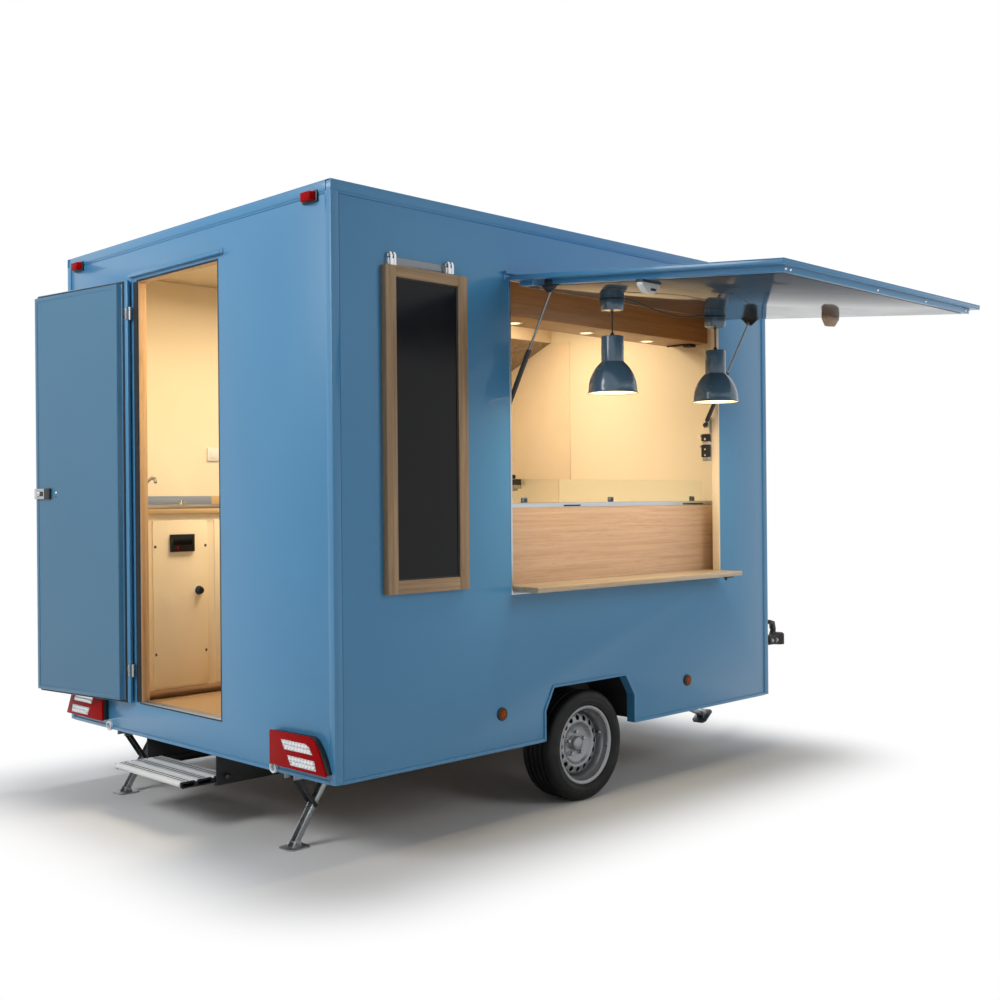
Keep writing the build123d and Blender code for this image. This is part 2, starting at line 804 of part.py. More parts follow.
# Pendant lamps under the flap: a canopy against its underside, a cord and a bell shade
lamp_x = (1322, 2108)
lamp_y = -305
canopy_low = 2266
canopy_high = 2370
canopy_radii = (50, 57)
shade_top = 2152
shade_neck_low = 2039
shade_rim = 1900
shade_neck_radius = 50
shade_rim_radius = 112
shade_skin = 3
lamp_cord_radius = 3.5
flap_underside = Plane(
    origin=flap_plane.from_local_coords((0, 0, flap_frame_low)), z_dir=flap_plane.z_dir
)
with BuildPart() as pendant_lamps:
    for x_mid in lamp_x:
        with BuildSketch(level_plane(canopy_low)):
            with Locations((x_mid, lamp_y)):
                Circle(canopy_radii[0])
        with BuildSketch(level_plane(canopy_high)):
            with Locations((x_mid, lamp_y)):
                Circle(canopy_radii[1])
        loft()
    split(bisect_by=flap_underside, keep=Keep.BOTTOM)
    for x_mid in lamp_x:
        lamp_plane = Plane(origin=at(x_mid, lamp_y, 0), x_dir=(1, 0, 0), z_dir=(0, -1, 0))
        with BuildSketch(lamp_plane):
            with BuildLine():
                Polyline(
                    (0, shade_top - shade_skin),
                    (0, shade_top),
                    (shade_neck_radius, shade_top),
                    (shade_neck_radius, shade_neck_low),
                )
                ThreePointArc(
                    (shade_neck_radius, shade_neck_low),
                    (92, 1984),
                    (shade_rim_radius - 4, shade_rim + 12),
                )
                Polyline(
                    (shade_rim_radius - 4, shade_rim + 12),
                    (shade_rim_radius, shade_rim),
                    (shade_rim_radius - shade_skin, shade_rim),
                    (shade_rim_radius - 4 - shade_skin, shade_rim + 12),
                )
                ThreePointArc(
                    (shade_rim_radius - 4 - shade_skin, shade_rim + 12),
                    (92 - shade_skin, 1982),
                    (shade_neck_radius - shade_skin, shade_neck_low - 2),
                )
                Polyline(
                    (shade_neck_radius - shade_skin, shade_neck_low - 2),
                    (shade_neck_radius - shade_skin, shade_top - shade_skin),
                    (0, shade_top - shade_skin),
                )
            make_face()
        revolve(axis=Axis(lamp_plane.origin, (0, 0, 1)))
save(pendant_lamps, "pendant_lamps")

for name, x_mid in zip(("rear", "front"), lamp_x):
    with BuildPart() as pendant_cord:
        with BuildSketch(level_plane(shade_top)):
            with Locations((x_mid, lamp_y)):
                Circle(lamp_cord_radius)
        extrude(amount=canopy_low - shade_top)
    save(pendant_cord, f"pendant_cord_{name}")

# Lead that sags from one canopy to the other: x, height, all in the lamps' own plane
cable_radius = 3.5
cable_route = (
    (1374, 2332),
    (1440, 2327),
    (1535, 2316),
    (1632, 2301),
    (1732, 2290),
    (1832, 2287),
    (1925, 2299),
    (1995, 2311),
    (2056, 2316),
)


def corner_radii(points):
    """The largest arc that each corner of a route has room for."""
    radii = []
    for before, corner, after in zip(points, points[1:], points[2:]):
        run_in = Vector(*corner) - Vector(*before)
        run_out = Vector(*after) - Vector(*corner)
        half_turn = math.radians(run_in.get_angle(run_out)) / 2
        radii.append(0.45 * min(run_in.length, run_out.length) / math.tan(half_turn))
    return radii


cable_points = [at(x, lamp_y, z) for x, z in cable_route]
cable_radii = corner_radii(cable_points)
print("link cable corner radii:", [round(radius) for radius in cable_radii])
with BuildPart() as link_cable:
    with BuildLine():
        route = FilletPolyline(*cable_points, radius=cable_radii)
    with BuildSketch(Plane(origin=route @ 0, z_dir=route % 0)):
        Circle(cable_radius)
    sweep()
cable_length = route.length
cable_area = math.pi * cable_radius**2
print("link cable length", round(cable_length), "volume ratio", link_cable.part.volume / (cable_area * cable_length))
save(link_cable, "link_cable")

# Gas struts, each a barrel on the wall eye and a rod to the flap
strut_rise = strut_flap[1] - strut_wall[1]
strut_run = strut_flap[0] - strut_wall[0]
strut_length = math.hypot(strut_run, strut_rise)
barrel_radius = 11
barrel_low = 24
barrel_end = 305
bore_radius = 6.5
bore_low = 42
rod_radius = 5
rod_low = 265
for name, x_mid in zip(("rear", "front"), strut_x):
    strut_plane = Plane(
        origin=at(x_mid, *strut_wall), x_dir=(1, 0, 0), z_dir=(0, strut_run, strut_rise)
    )
    with BuildPart(strut_plane) as strut_barrel:
        Cylinder(eye_radius, 2 * eye_half, rotation=(0, 90, 0))
        with Locations((0, 0, barrel_low / 2)):
            Cylinder(rod_radius, barrel_low)
        with Locations((0, 0, (barrel_low + barrel_end) / 2)):
            Cylinder(barrel_radius, barrel_end - barrel_low)
        with Locations((0, 0, (bore_low + barrel_end) / 2 + wall)):
            Cylinder(bore_radius, barrel_end - bore_low + 2 * wall, mode=Mode.SUBTRACT)
    save(strut_barrel, f"strut_barrel_{name}")

    with BuildPart(strut_plane) as strut_rod:
        with Locations((0, 0, strut_length)):
            Cylinder(eye_radius, 2 * eye_half, rotation=(0, 90, 0))
        with Locations((0, 0, (rod_low + strut_length) / 2)):
            Cylinder(rod_radius, strut_length - rod_low)
    save(strut_rod, f"strut_rod_{name}")

# Serving shelf outside the hatch, on a hinge along the counter's front
shelf_y = (-150, shelf_hinge[0] - 2)
shelf_z = (shelf_hinge[1] - 25, shelf_hinge[1])
with BuildPart(body_plane) as serving_shelf:
    block((shelf_x[0], shelf_y[0], shelf_z[0]), (shelf_x[1], shelf_y[1], shelf_z[1]))
    fillet(serving_shelf.edges().filter_by(Axis.X).group_by(Axis.Y)[0], radius=6)
save(serving_shelf, "serving_shelf")

# Pull-out step under the doorway and its guides
step_y = (930, 1515)
step_arm = 8
step_arm_x = (-118, 420)
step_arm_z = (190, 212)
tread_z = (196, 220)
tread_x = ((-130, -58), (-46, 26), (38, 110))
guide_plate_x = (45, 480)
with BuildPart(body_plane) as step:
    for y0 in (step_y[0], step_y[1] - step_arm):
        block((step_arm_x[0], y0, step_arm_z[0]), (step_arm_x[1], y0 + step_arm, step_arm_z[1]))
    for x0, x1 in tread_x:
        block((x0, step_y[0], tread_z[0]), (x1, step_y[1], tread_z[1]))
    fillet(step.edges().filter_by(Axis.Y).group_by(Axis.X)[0], radius=10)
save(step, "step")

with BuildPart(body_plane) as step_guides:
    for y0, y_flange in ((step_y[0] - 12, step_y[0] - 12), (step_y[1] + 6, step_y[1] - 12)):
        block((guide_plate_x[0], y0, step_arm_z[0] - 12), (guide_plate_x[1], y0 + 6, rail_low))
        block(
            (guide_plate_x[0], y_flange, step_arm_z[0] - 12),
            (guide_plate_x[1], y_flange + 24, step_arm_z[0] - 6),
        )
save(step_guides, "step_guides")

# Steadies: a base under each corner, a strut on it and a leg whose head runs in the base
steady_leg_length = 2 * steady_strut_length
front_pivot_x = body_length - steady_pivot_inset
far_y = body_width - steady_y
# name, pivot x, way the leg leans, y, angle below level
steady_table = (
    ("rear_right", steady_pivot_inset, 1, steady_y, steady_down_deg),
    ("rear_left", steady_pivot_inset, 1, far_y, steady_down_deg),
    ("front_right", front_pivot_x, -1, steady_y, steady_front_deg),
    ("front_left", front_pivot_x, -1, far_y, steady_front_deg),
)
base_back = 25
base_reach = 385
base_half = 36
base_plate = 5
base_low = 285
leg_half = 18
leg_depth = 24
bar_inner = 20
bar_outer = 26
bar_depth = 22
foot_half = 48
foot_lift = 0.5
ankle_z = steady_pivot_z - steady_leg_length * math.sin(math.radians(steady_down_deg))
plate_low = foot_lift - ankle_z
plate_top = plate_low + 6
foot_plate = ((-55, plate_low), (55, plate_low), (55, plate_top), (-55, plate_top))
foot_neck = ((-18, plate_top), (18, plate_top), (11, 0), (-11, 0))

with BuildPart(body_plane) as steady_bases:
    for name, pivot_x, lean, y_mid, angle in steady_table:
        ends = (pivot_x - lean * base_back, pivot_x + lean * base_reach)
        low_x = min(ends)
        high_x = max(ends)
        block(
            (low_x, y_mid - base_half, rail_low - base_plate), (high_x, y_mid + base_half, rail_low)
        )
        for y0 in (y_mid - base_half, y_mid + base_half - base_plate):
            block((low_x, y0, base_low), (high_x, y0 + base_plate, rail_low))
save(steady_bases, "steady_bases")

for name, pivot_x, lean, y_mid, angle in steady_table:
    phi = math.radians(angle)
    raised = math.radians(steady_down_deg - angle)
    middle_x = pivot_x + lean * steady_strut_length * math.cos(phi)
    middle_z = steady_pivot_z - steady_strut_length * math.sin(phi)
    ankle = (pivot_x, steady_pivot_z - steady_leg_length * math.sin(phi))

    with BuildPart() as steady_strut:
        for y_face in (y_mid - bar_inner, y_mid + bar_outer):
            with BuildSketch(side_plane(y_face)):
                with Locations(((pivot_x + middle_x) / 2, (steady_pivot_z + middle_z) / 2)):
                    SlotCenterToCenter(steady_strut_length, bar_depth, rotation=-lean * angle)
            extrude(amount=bar_outer - bar_inner)
        with BuildSketch(side_plane(y_mid + bar_outer)):
            with Locations((pivot_x, steady_pivot_z)):
                Circle(9)
        extrude(amount=2 * bar_outer)
    save(steady_strut, f"steady_strut_{name}")

    with BuildPart() as steady_leg:
        with BuildSketch(side_plane(y_mid + leg_half)):
            with Locations((middle_x, middle_z)):
                SlotCenterToCenter(steady_leg_length, leg_depth, rotation=lean * angle)
        extrude(amount=2 * leg_half)
        for half, corners in ((foot_half, foot_plate), (leg_half, foot_neck)):
            turned = [
                (
                    ankle[0] + lean * (dx * math.cos(raised) + dz * math.sin(raised)),
                    ankle[1] - dx * math.sin(raised) + dz * math.cos(raised),
                )
                for dx, dz in corners
            ]
            with BuildSketch(side_plane(y_mid + half)):
                outline(turned)
            extrude(amount=2 * half)
    save(steady_leg, f"steady_leg_{name}")

# Menu board on the right wall: frame and slate
board_x = (228, 690)
board_z = (1053, 2376)
slate_x = (284, 634)
slate_z = (1108, 2330)
board_out = 45
with BuildPart(body_plane) as menu_board_frame:
    block((board_x[0], -board_out, board_z[0]), (board_x[1], 0, board_z[1]))
    block(
        (slate_x[0], -2 * board_out, slate_z[0]), (slate_x[1], board_out, slate_z[1]), mode=Mode.SUBTRACT
    )
save(menu_board_frame, "menu_board_frame")

with BuildPart(body_plane) as menu_board_slate:
    block((slate_x[0], -34, slate_z[0]), (slate_x[1], -6, slate_z[1]))
save(menu_board_slate, "menu_board_slate")

# Lamps: tail lamps on the skirt, markers at the rear corners and along both sides
tail_outline = ((5, 372), (365, 372), (365, 512), (90, 512), (66, 502), (14, 388))
tail_depth = 40
with BuildPart() as tail_lamps:
    for side, edge_y in ((1, 0), (-1, body_width)):
        with BuildSketch(cross_plane(-tail_depth)):
            outline([(edge_y + side * y, z) for y, z in tail_outline])
        extrude(amount=tail_depth)
save(tail_lamps, "tail_lamps")

side_marker_x = (912, 2268)
side_marker_z = 490
side_marker_radius = 27
side_marker_out = 14
rear_marker_y = (125, body_width - 125)
rear_marker_z = 2625
rear_marker_half = (48, 22)
rear_marker_out = 35
with BuildPart(body_plane) as marker_lamps:
    for x_mid in side_marker_x:
        for y_face in (0, body_width + side_marker_out):
            with BuildSketch(side_plane(y_face)):
                with Locations((x_mid, side_marker_z)):
                    Circle(side_marker_radius)
            extrude(amount=side_marker_out)
    for y_mid in rear_marker_y:
        block(
            (-rear_marker_out, y_mid - rear_marker_half[0], rear_marker_z - rear_marker_half[1]),
            (0, y_mid + rear_marker_half[0], rear_marker_z + rear_marker_half[1]),
        )
save(marker_lamps, "marker_lamps")
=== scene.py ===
import json
import math

import bmesh
import bpy
from mathutils import Matrix, Vector

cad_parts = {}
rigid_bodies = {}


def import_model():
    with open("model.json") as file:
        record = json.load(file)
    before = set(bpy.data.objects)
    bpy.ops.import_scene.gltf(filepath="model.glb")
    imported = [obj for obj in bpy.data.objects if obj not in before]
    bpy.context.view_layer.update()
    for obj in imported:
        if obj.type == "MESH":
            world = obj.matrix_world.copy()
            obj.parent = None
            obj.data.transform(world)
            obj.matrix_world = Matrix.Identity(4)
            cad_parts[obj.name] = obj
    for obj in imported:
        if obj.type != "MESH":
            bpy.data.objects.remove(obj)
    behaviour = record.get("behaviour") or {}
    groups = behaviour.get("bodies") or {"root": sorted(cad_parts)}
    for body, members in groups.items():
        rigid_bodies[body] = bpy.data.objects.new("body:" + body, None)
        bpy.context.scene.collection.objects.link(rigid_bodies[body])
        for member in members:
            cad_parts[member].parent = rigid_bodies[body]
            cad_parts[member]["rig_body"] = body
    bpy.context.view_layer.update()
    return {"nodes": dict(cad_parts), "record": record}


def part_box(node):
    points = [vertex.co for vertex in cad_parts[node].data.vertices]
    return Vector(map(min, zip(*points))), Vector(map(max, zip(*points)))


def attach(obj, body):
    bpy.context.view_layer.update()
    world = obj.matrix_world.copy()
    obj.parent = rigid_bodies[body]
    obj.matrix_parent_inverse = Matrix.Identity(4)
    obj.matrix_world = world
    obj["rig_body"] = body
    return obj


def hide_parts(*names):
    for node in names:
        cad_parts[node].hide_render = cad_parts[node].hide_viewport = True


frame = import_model()
nodes = frame["nodes"]
scene = bpy.context.scene
mm = 0.001
mergeGap = 0.02 * mm
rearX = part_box("rear_wall")[0].x
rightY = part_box("right_wall")[0].y
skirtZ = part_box("right_wall")[0].z / mm
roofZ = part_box("roof_panel")[1].z / mm
bodyLength = (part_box("front_wall")[1].x - rearX) / mm
bodyWidth = (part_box("left_wall")[1].y - rightY) / mm
axisVectors = {"x": Vector((1, 0, 0)), "y": Vector((0, 1, 0)), "z": Vector((0, 0, 1))}
towardsRear, towardsRight, downwards = -axisVectors["x"], -axisVectors["y"], -axisVectors["z"]
print("frame loaded,", len(nodes), "nodes")


# body millimetres, from the rear wall, the right wall and the floor, to metres in the frame
def at(x, y, z):
    return Vector((rearX + x * mm, rightY + y * mm, z * mm))


def addBox(bm, low, high):
    start, end = at(*low), at(*high)
    size = end - start
    place = Matrix.Translation((start + end) / 2) @ Matrix.Diagonal((size.x, size.y, size.z, 1))
    bmesh.ops.create_cube(bm, size=1, matrix=place)


# faces pushed out into a solid
def pushOut(bm, faces, push):
    made = bmesh.ops.extrude_face_region(bm, geom=faces, use_keep_orig=True)["geom"]
    moved = [part for part in made if isinstance(part, bmesh.types.BMVert)]
    bmesh.ops.translate(bm, vec=push, verts=moved)


def addPrism(bm, points, push):
    pushOut(bm, [bm.faces.new([bm.verts.new(point) for point in points])], push)


# points given in the two other axes of a plane square to one axis
def onPlane(axis, points, level):
    places = {
        "x": lambda a, b: at(level, a, b),
        "y": lambda a, b: at(a, level, b),
        "z": lambda a, b: at(a, b, level),
    }
    return [places[axis](a, b) for a, b in points]


def addProfile(bm, axis, points, start, end):
    addPrism(bm, onPlane(axis, points, start), axisVectors[axis] * (end - start) * mm)


# a rectangular frame of one width standing on a flat face, mitred at its corners
def addRing(bm, axis, low, high, width, start, end):
    (a0, b0), (a1, b1) = low, high
    corners = onPlane(axis, ((a0, b0), (a1, b0), (a1, b1), (a0, b1)), start)
    middle = bm.faces.new([bm.verts.new(corner) for corner in corners])
    bm.normal_update()
    sides = bmesh.ops.inset_region(
        bm, faces=[middle], thickness=width * mm, use_boundary=True, use_even_offset=True
    )["faces"]
    bmesh.ops.delete(bm, geom=[middle], context="FACES_ONLY")
    pushOut(bm, sides, axisVectors[axis] * (end - start) * mm)


# a profile of (radius, height) in millimetres turned round an axis, with its poles merged
def addTurned(bm, profile, centre, axis, steps=32):
    earlier = set(bm.verts)
    along = axisVectors[axis] if isinstance(axis, str) else axis.normalized()
    across = along.orthogonal().normalized()
    verts = [bm.verts.new(centre + (across * radius + along * height) * mm) for radius, height in profile]
    edges = [bm.edges.new(pair) for pair in zip(verts, verts[1:])]
    bmesh.ops.spin(
        bm, geom=verts + edges, cent=centre, axis=along, angle=math.tau, steps=steps, use_merge=True
    )
    turned = [vert for vert in bm.verts if vert not in earlier]
    bmesh.ops.remove_doubles(bm, verts=turned, dist=mergeGap)


def addRod(bm, start, end, radius, steps=16):
    way = end - start
    length = way.length / mm
    addTurned(bm, [(0, 0), (radius, 0), (radius, length), (0, length)], start, way, steps)


def bevelEdges(bm, width, segments=2, angle=30):
    sharp = [
        edge for edge in bm.edges
        if len(edge.link_faces) == 2 and edge.calc_face_angle() > math.radians(angle)
    ]
    bmesh.ops.bevel(
        bm, geom=sharp, offset=width * mm, offset_type="OFFSET", affect="EDGES",
        segments=segments, profile=0.5, material=-1, clamp_overlap=True,
    )


# bmesh to a piece that rides on a body; shapes that only abut stay apart so that each edge is rounded
def addPiece(
    name, bm, material, body="trailer", bevel=0, segments=2, smooth=35, slot=None, replaced=(), turn=True
):
    if not bevel:
        bmesh.ops.remove_doubles(bm, verts=bm.verts, dist=mergeGap)
    if turn:
        bmesh.ops.recalc_face_normals(bm, faces=bm.faces)
    if bevel:
        bevelEdges(bm, bevel, segments)
    mesh = bpy.data.meshes.new(name)
    bm.to_mesh(mesh)
    bm.free()
    mesh.shade_smooth()
    mesh.set_sharp_from_angle(angle=math.radians(smooth))
    mesh.materials.append(material)
    piece = bpy.data.objects.new(name, mesh)
    scene.collection.objects.link(piece)
    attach(piece, body)
    if replaced:
        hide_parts(*replaced)
    return piece


def addBoxPiece(name, boxes, material, body="trailer", **finish):
    bm = bmesh.new()
    for low, high in boxes:
        addBox(bm, low, high)
    addPiece(name, bm, material, body, **finish)


# one profile turned at each of a few places
def addTurnedPiece(name, profile, places, axis, steps, material, body="trailer", **finish):
    bm = bmesh.new()
    for place in places:
        addTurned(bm, profile, place, axis, steps)
    addPiece(name, bm, material, body, **finish)


# Camera, at the photo's place and turn, in body millimetres and degrees
cameraView = {
    "place": (-2903.3, -3804.9, 1429.75), "yaw": 44.9266, "pitch": -0.0072, "roll": -0.5103,
    "lens": 44.2326, "sensor": 36, "farthest": 200,
}
yaw, pitch, roll = (math.radians(cameraView[turn]) for turn in ("yaw", "pitch", "roll"))
ahead = Vector((math.cos(yaw) * math.cos(pitch), math.sin(yaw) * math.cos(pitch), math.sin(pitch)))
aside = Vector((math.sin(yaw), -math.cos(yaw), 0))
upward = aside.cross(ahead)
cameraAside = math.cos(roll) * aside + math.sin(roll) * upward
cameraUp = math.cos(roll) * upward - math.sin(roll) * aside
facing = Matrix((cameraAside, cameraUp, -ahead)).transposed().to_4x4()
camera = bpy.data.objects.new("camera", bpy.data.cameras.new("camera"))
camera.data.lens = cameraView["lens"]
camera.data.sensor_width = cameraView["sensor"]
camera.data.clip_end = cameraView["farthest"]
camera.matrix_world = Matrix.Translation(at(*cameraView["place"])) @ facing
scene.collection.objects.link(camera)
scene.camera = camera
print("camera set")


def hexColour(text):
    parts = [int(text[start:start + 2], 16) / 255 for start in (1, 3, 5)]
    linear = [part / 12.92 if part <= 0.04045 else ((part + 0.055) / 1.055) ** 2.4 for part in parts]
    return (*linear, 1)


def addNode(tree, kind, values=None, links=None, **settings):
    node = tree.nodes.new(kind)
    for key, value in settings.items():
        setattr(node, key, value)
    for socket, value in (values or {}).items():
        node.inputs[socket].default_value = value
    for socket, source in (links or {}).items():
        tree.links.new(source, node.inputs[socket])
    return node


def startMaterial(name, **sockets):
    material = bpy.data.materials.new(name)
    material.use_nodes = True
    tree = material.node_tree
    shader = tree.nodes["Principled BSDF"]
    for socket, value in sockets.items():
        shader.inputs[socket.replace("_", " ")].default_value = value
    coord = addNode(tree, "ShaderNodeTexCoord").outputs["Object"]
    return material, tree, shader, coord


# the two colours of a mix, and the two ends of a roughness range
def betweenShades(shades):
    return {6: hexColour(shades[0]), 7: hexColour(shades[1])}


def glossRange(gloss):
    return {"To Min": gloss[0], "To Max": gloss[1]}


# pattern scale for a size in millimetres, drawn out to a length along one axis
def drawnOut(size, length, along):
    scale = [1 / (size * mm)] * 3
    scale["xyz".index(along)] = 1 / (length * mm)
    return {"Scale": scale}


def joinFinish(tree, shader, colour, sheen, bump):
    tree.links.new(colour.outputs[2], shader.inputs["Base Color"])
    tree.links.new(sheen.outputs[0], shader.inputs["Roughness"])
    tree.links.new(bump.outputs["Normal"], shader.inputs["Normal"])


# a colour that drifts between two shades, gloss that drifts with it, and a fine grain in relief
def driftMaterial(name, shades, patch, gloss, grain, relief, **sockets):
    material, tree, shader, coord = startMaterial(name, **sockets)
    drift = addNode(tree, "ShaderNodeTexNoise", {"Scale": 1 / (patch * mm), "Detail": 5}, {"Vector": coord})
    colour = addNode(
        tree, "ShaderNodeMix", betweenShades(shades), {0: drift.outputs["Fac"]}, data_type="RGBA"
    )
    sheen = addNode(
        tree, "ShaderNodeMapRange", {"From Min": 0.3, "From Max": 0.7, **glossRange(gloss)},
        {"Value": drift.outputs["Fac"]},
    )
    fine = addNode(tree, "ShaderNodeTexNoise", {"Scale": 1 / (grain * mm), "Detail": 3}, {"Vector": coord})
    bump = addNode(tree, "ShaderNodeBump", {"Distance": relief * mm}, {"Height": fine.outputs["Fac"]})
    joinFinish(tree, shader, colour, sheen, bump)
    return material


# Gelcoat on sandwich panel: blue and glossy outside with slow waves in its reflections, cream inside
gelcoat = {
    "outside": ("#3f82ae", "#488ab6"),
    # door: the outside blue darkened for the door's inner face, painted shade
    "door": ("#386d8d", "#3f7494"),
    "inside": ("#f4e8ce", "#f1e3c6"),
    "skin": 20, "floorZ": 460, "drift": 900,
    "wave": 420, "waveRelief": 0.5, "peel": 9, "peelRelief": 0.012,
}


def gelcoatMaterial(name, shades, withInside=False):
    material, tree, shader, coord = startMaterial(
        name, Roughness=0.35, Coat_Weight=0.35, Coat_Roughness=0.05, IOR=1.42
    )
    drift, wave, peel = (
        addNode(
            tree, "ShaderNodeTexNoise", {"Scale": 1 / (gelcoat[size] * mm), "Detail": detail},
            {"Vector": coord},
        ).outputs["Fac"]
        for size, detail in (("drift", 3), ("wave", 1), ("peel", 2))
    )
    colour = addNode(tree, "ShaderNodeMix", betweenShades(shades), {0: drift}, data_type="RGBA")
    if withInside:
        cream = addNode(
            tree, "ShaderNodeMix", betweenShades(gelcoat["inside"]), {0: drift}, data_type="RGBA"
        )
        place = addNode(tree, "ShaderNodeSeparateXYZ", links={"Vector": coord})
        skin = gelcoat["skin"]
        low = at(skin, skin, gelcoat["floorZ"])
        high = at(bodyLength - skin, bodyWidth - skin, roofZ - skin)
        within = [
            addNode(
                tree, "ShaderNodeMath", {1: (low[axis] + high[axis]) / 2, 2: (high[axis] - low[axis]) / 2},
                {0: place.outputs[axis]}, operation="COMPARE",
            ).outputs[0]
            for axis in range(3)
        ]
        level = addNode(tree, "ShaderNodeMath", links={0: within[0], 1: within[1]}, operation="MULTIPLY")
        level = addNode(
            tree, "ShaderNodeMath", links={0: level.outputs[0], 1: within[2]}, operation="MULTIPLY"
        )
        colour = addNode(
            tree, "ShaderNodeMix", links={0: level.outputs[0], 6: colour.outputs[2], 7: cream.outputs[2]},
            data_type="RGBA",
        )
    slow = addNode(tree, "ShaderNodeBump", {"Distance": gelcoat["waveRelief"] * mm}, {"Height": wave})
    fine = addNode(
        tree, "ShaderNodeBump", {"Distance": gelcoat["peelRelief"] * mm},
        {"Height": peel, "Normal": slow.outputs["Normal"]},
    )
    tree.links.new(colour.outputs[2], shader.inputs["Base Color"])
    tree.links.new(fine.outputs["Normal"], shader.inputs["Normal"])
    tree.links.new(fine.outputs["Normal"], shader.inputs["Coat Normal"])
    return material


gelcoatPanel = gelcoatMaterial("gelcoat_panel_blue_and_cream", gelcoat["outside"], withInside=True)
gelcoatBlue = gelcoatMaterial("gelcoat_blue", gelcoat["outside"])
gelcoatDoorShade = gelcoatMaterial("gelcoat_blue_door", gelcoat["door"])


# Oak veneer: bands of figure and short dark pores, both drawn out along the grain
# Pores are wider than real ones, so that they show
oakGrain = {
    "figureLength": 620, "poreLength": 90, "gloss": (0.38, 0.52), "poreRelief": 0.12,
    "bandEnds": (0.3, 0.68), "poreEnds": (0.56, 0.72), "poreShare": 0.45,
}


def oakMaterial(name, shades, grain, figure=34, pore=3.2):
    material, tree, shader, coord = startMaterial(name, Coat_Weight=0.12, Coat_Roughness=0.3)
    wide = addNode(
        tree, "ShaderNodeMapping", drawnOut(figure, oakGrain["figureLength"], grain), {"Vector": coord}
    )
    short = addNode(
        tree, "ShaderNodeMapping", drawnOut(pore, oakGrain["poreLength"], grain), {"Vector": coord}
    )
    bands = addNode(
        tree, "ShaderNodeTexNoise", {"Scale": 1, "Detail": 4, "Distortion": 0.6},
        {"Vector": wide.outputs["Vector"]},
    )
    ramp = addNode(tree, "ShaderNodeValToRGB", links={"Fac": bands.outputs["Fac"]})
    for element, position, shade in zip(ramp.color_ramp.elements, oakGrain["bandEnds"], shades):
        element.position = position
        element.color = hexColour(shade)
    pores = addNode(
        tree, "ShaderNodeTexNoise", {"Scale": 1, "Detail": 2}, {"Vector": short.outputs["Vector"]}
    ).outputs["Fac"]
    poreLow, poreHigh = oakGrain["poreEnds"]
    dark = addNode(
        tree, "ShaderNodeMapRange",
        {"From Min": poreLow, "From Max": poreHigh, "To Min": 0, "To Max": oakGrain["poreShare"]},
        {"Value": pores},
    )
    colour = addNode(
        tree, "ShaderNodeMix", {7: hexColour(shades[2])}, {0: dark.outputs[0], 6: ramp.outputs["Color"]},
        data_type="RGBA",
    )
    sheen = addNode(tree, "ShaderNodeMapRange", glossRange(oakGrain["gloss"]), {"Value": pores})
    bump = addNode(
        tree, "ShaderNodeBump", {"Distance": oakGrain["poreRelief"] * mm, "Strength": 0.6}, {"Height": pores},
        invert=True,
    )
    joinFinish(tree, shader, colour, sheen, bump)
    return material


oakPale = ("#b79373", "#c8aa8e", "#9b7553")
oakGrey = ("#82664a", "#a88a64", "#5a432b")
oakAlong = oakMaterial("oak_veneer_along", oakPale, "x", figure=15, pore=2.6)
oakShelf = oakMaterial("oak_shelf", ("#b5a082", "#cfbda3", "#8d745a"), "x", figure=26)
oakUpright = oakMaterial("oak_frame_upright", oakGrey, "z", figure=18)
oakUprightPale = oakMaterial("oak_jamb_upright", ("#c39a6b", "#dcb98c", "#97703f"), "z", figure=20)
oakLevel = oakMaterial("oak_frame_level", oakGrey, "x", figure=18)
# The pelmet's darker oak is painted shade: its front lies in shadow under the flap
oakPelmetShade = oakMaterial("oak_pelmet", ("#94683f", "#ad7f50", "#70492a"), "x", figure=16)


# Metal with a drawn or rolled surface: fine lines along one direction in its gloss and relief
# The lines are wider than real ones, so that they show
def drawnMetal(name, shades, along, gloss, line=1.6, length=160, relief=0.02, metallic=1):
    material, tree, shader, coord = startMaterial(name, Metallic=metallic)
    lines = addNode(tree, "ShaderNodeMapping", drawnOut(line, length, along), {"Vector": coord})
    brush = addNode(
        tree, "ShaderNodeTexNoise", {"Scale": 1, "Detail": 3}, {"Vector": lines.outputs["Vector"]}
    ).outputs["Fac"]
    colour = addNode(tree, "ShaderNodeMix", betweenShades(shades), {0: brush}, data_type="RGBA")
    sheen = addNode(tree, "ShaderNodeMapRange", glossRange(gloss), {"Value": brush})
    bump = addNode(tree, "ShaderNodeBump", {"Distance": relief * mm}, {"Height": brush})
    joinFinish(tree, shader, colour, sheen, bump)
    return material


brushedAluminium = drawnMetal("brushed_aluminium", ("#b9bcbf", "#d2d4d6"), "x", (0.28, 0.42))
drawnAluminium = drawnMetal("drawn_aluminium_upright", ("#b4b8bb", "#ced1d3"), "z", (0.3, 0.45))
stainless = drawnMetal("stainless_steel", ("#a9acae", "#c3c5c6"), "z", (0.2, 0.34), line=1.2)
# The splashback's blue-grey is painted reflection of the blue outside, on brushed stainless
splashSteelReflection = drawnMetal(
    "brushed_stainless_splashback", ("#93a2b8", "#a9b6c9"), "x", (0.35, 0.5), metallic=0.35
)
chrome = drawnMetal("chromed_steel", ("#d4d6d8", "#e2e3e4"), "z", (0.05, 0.12), line=2.4, relief=0.004)
rodSteel = drawnMetal("ground_steel_rod", ("#6d7175", "#83878b"), "z", (0.16, 0.26), line=2)


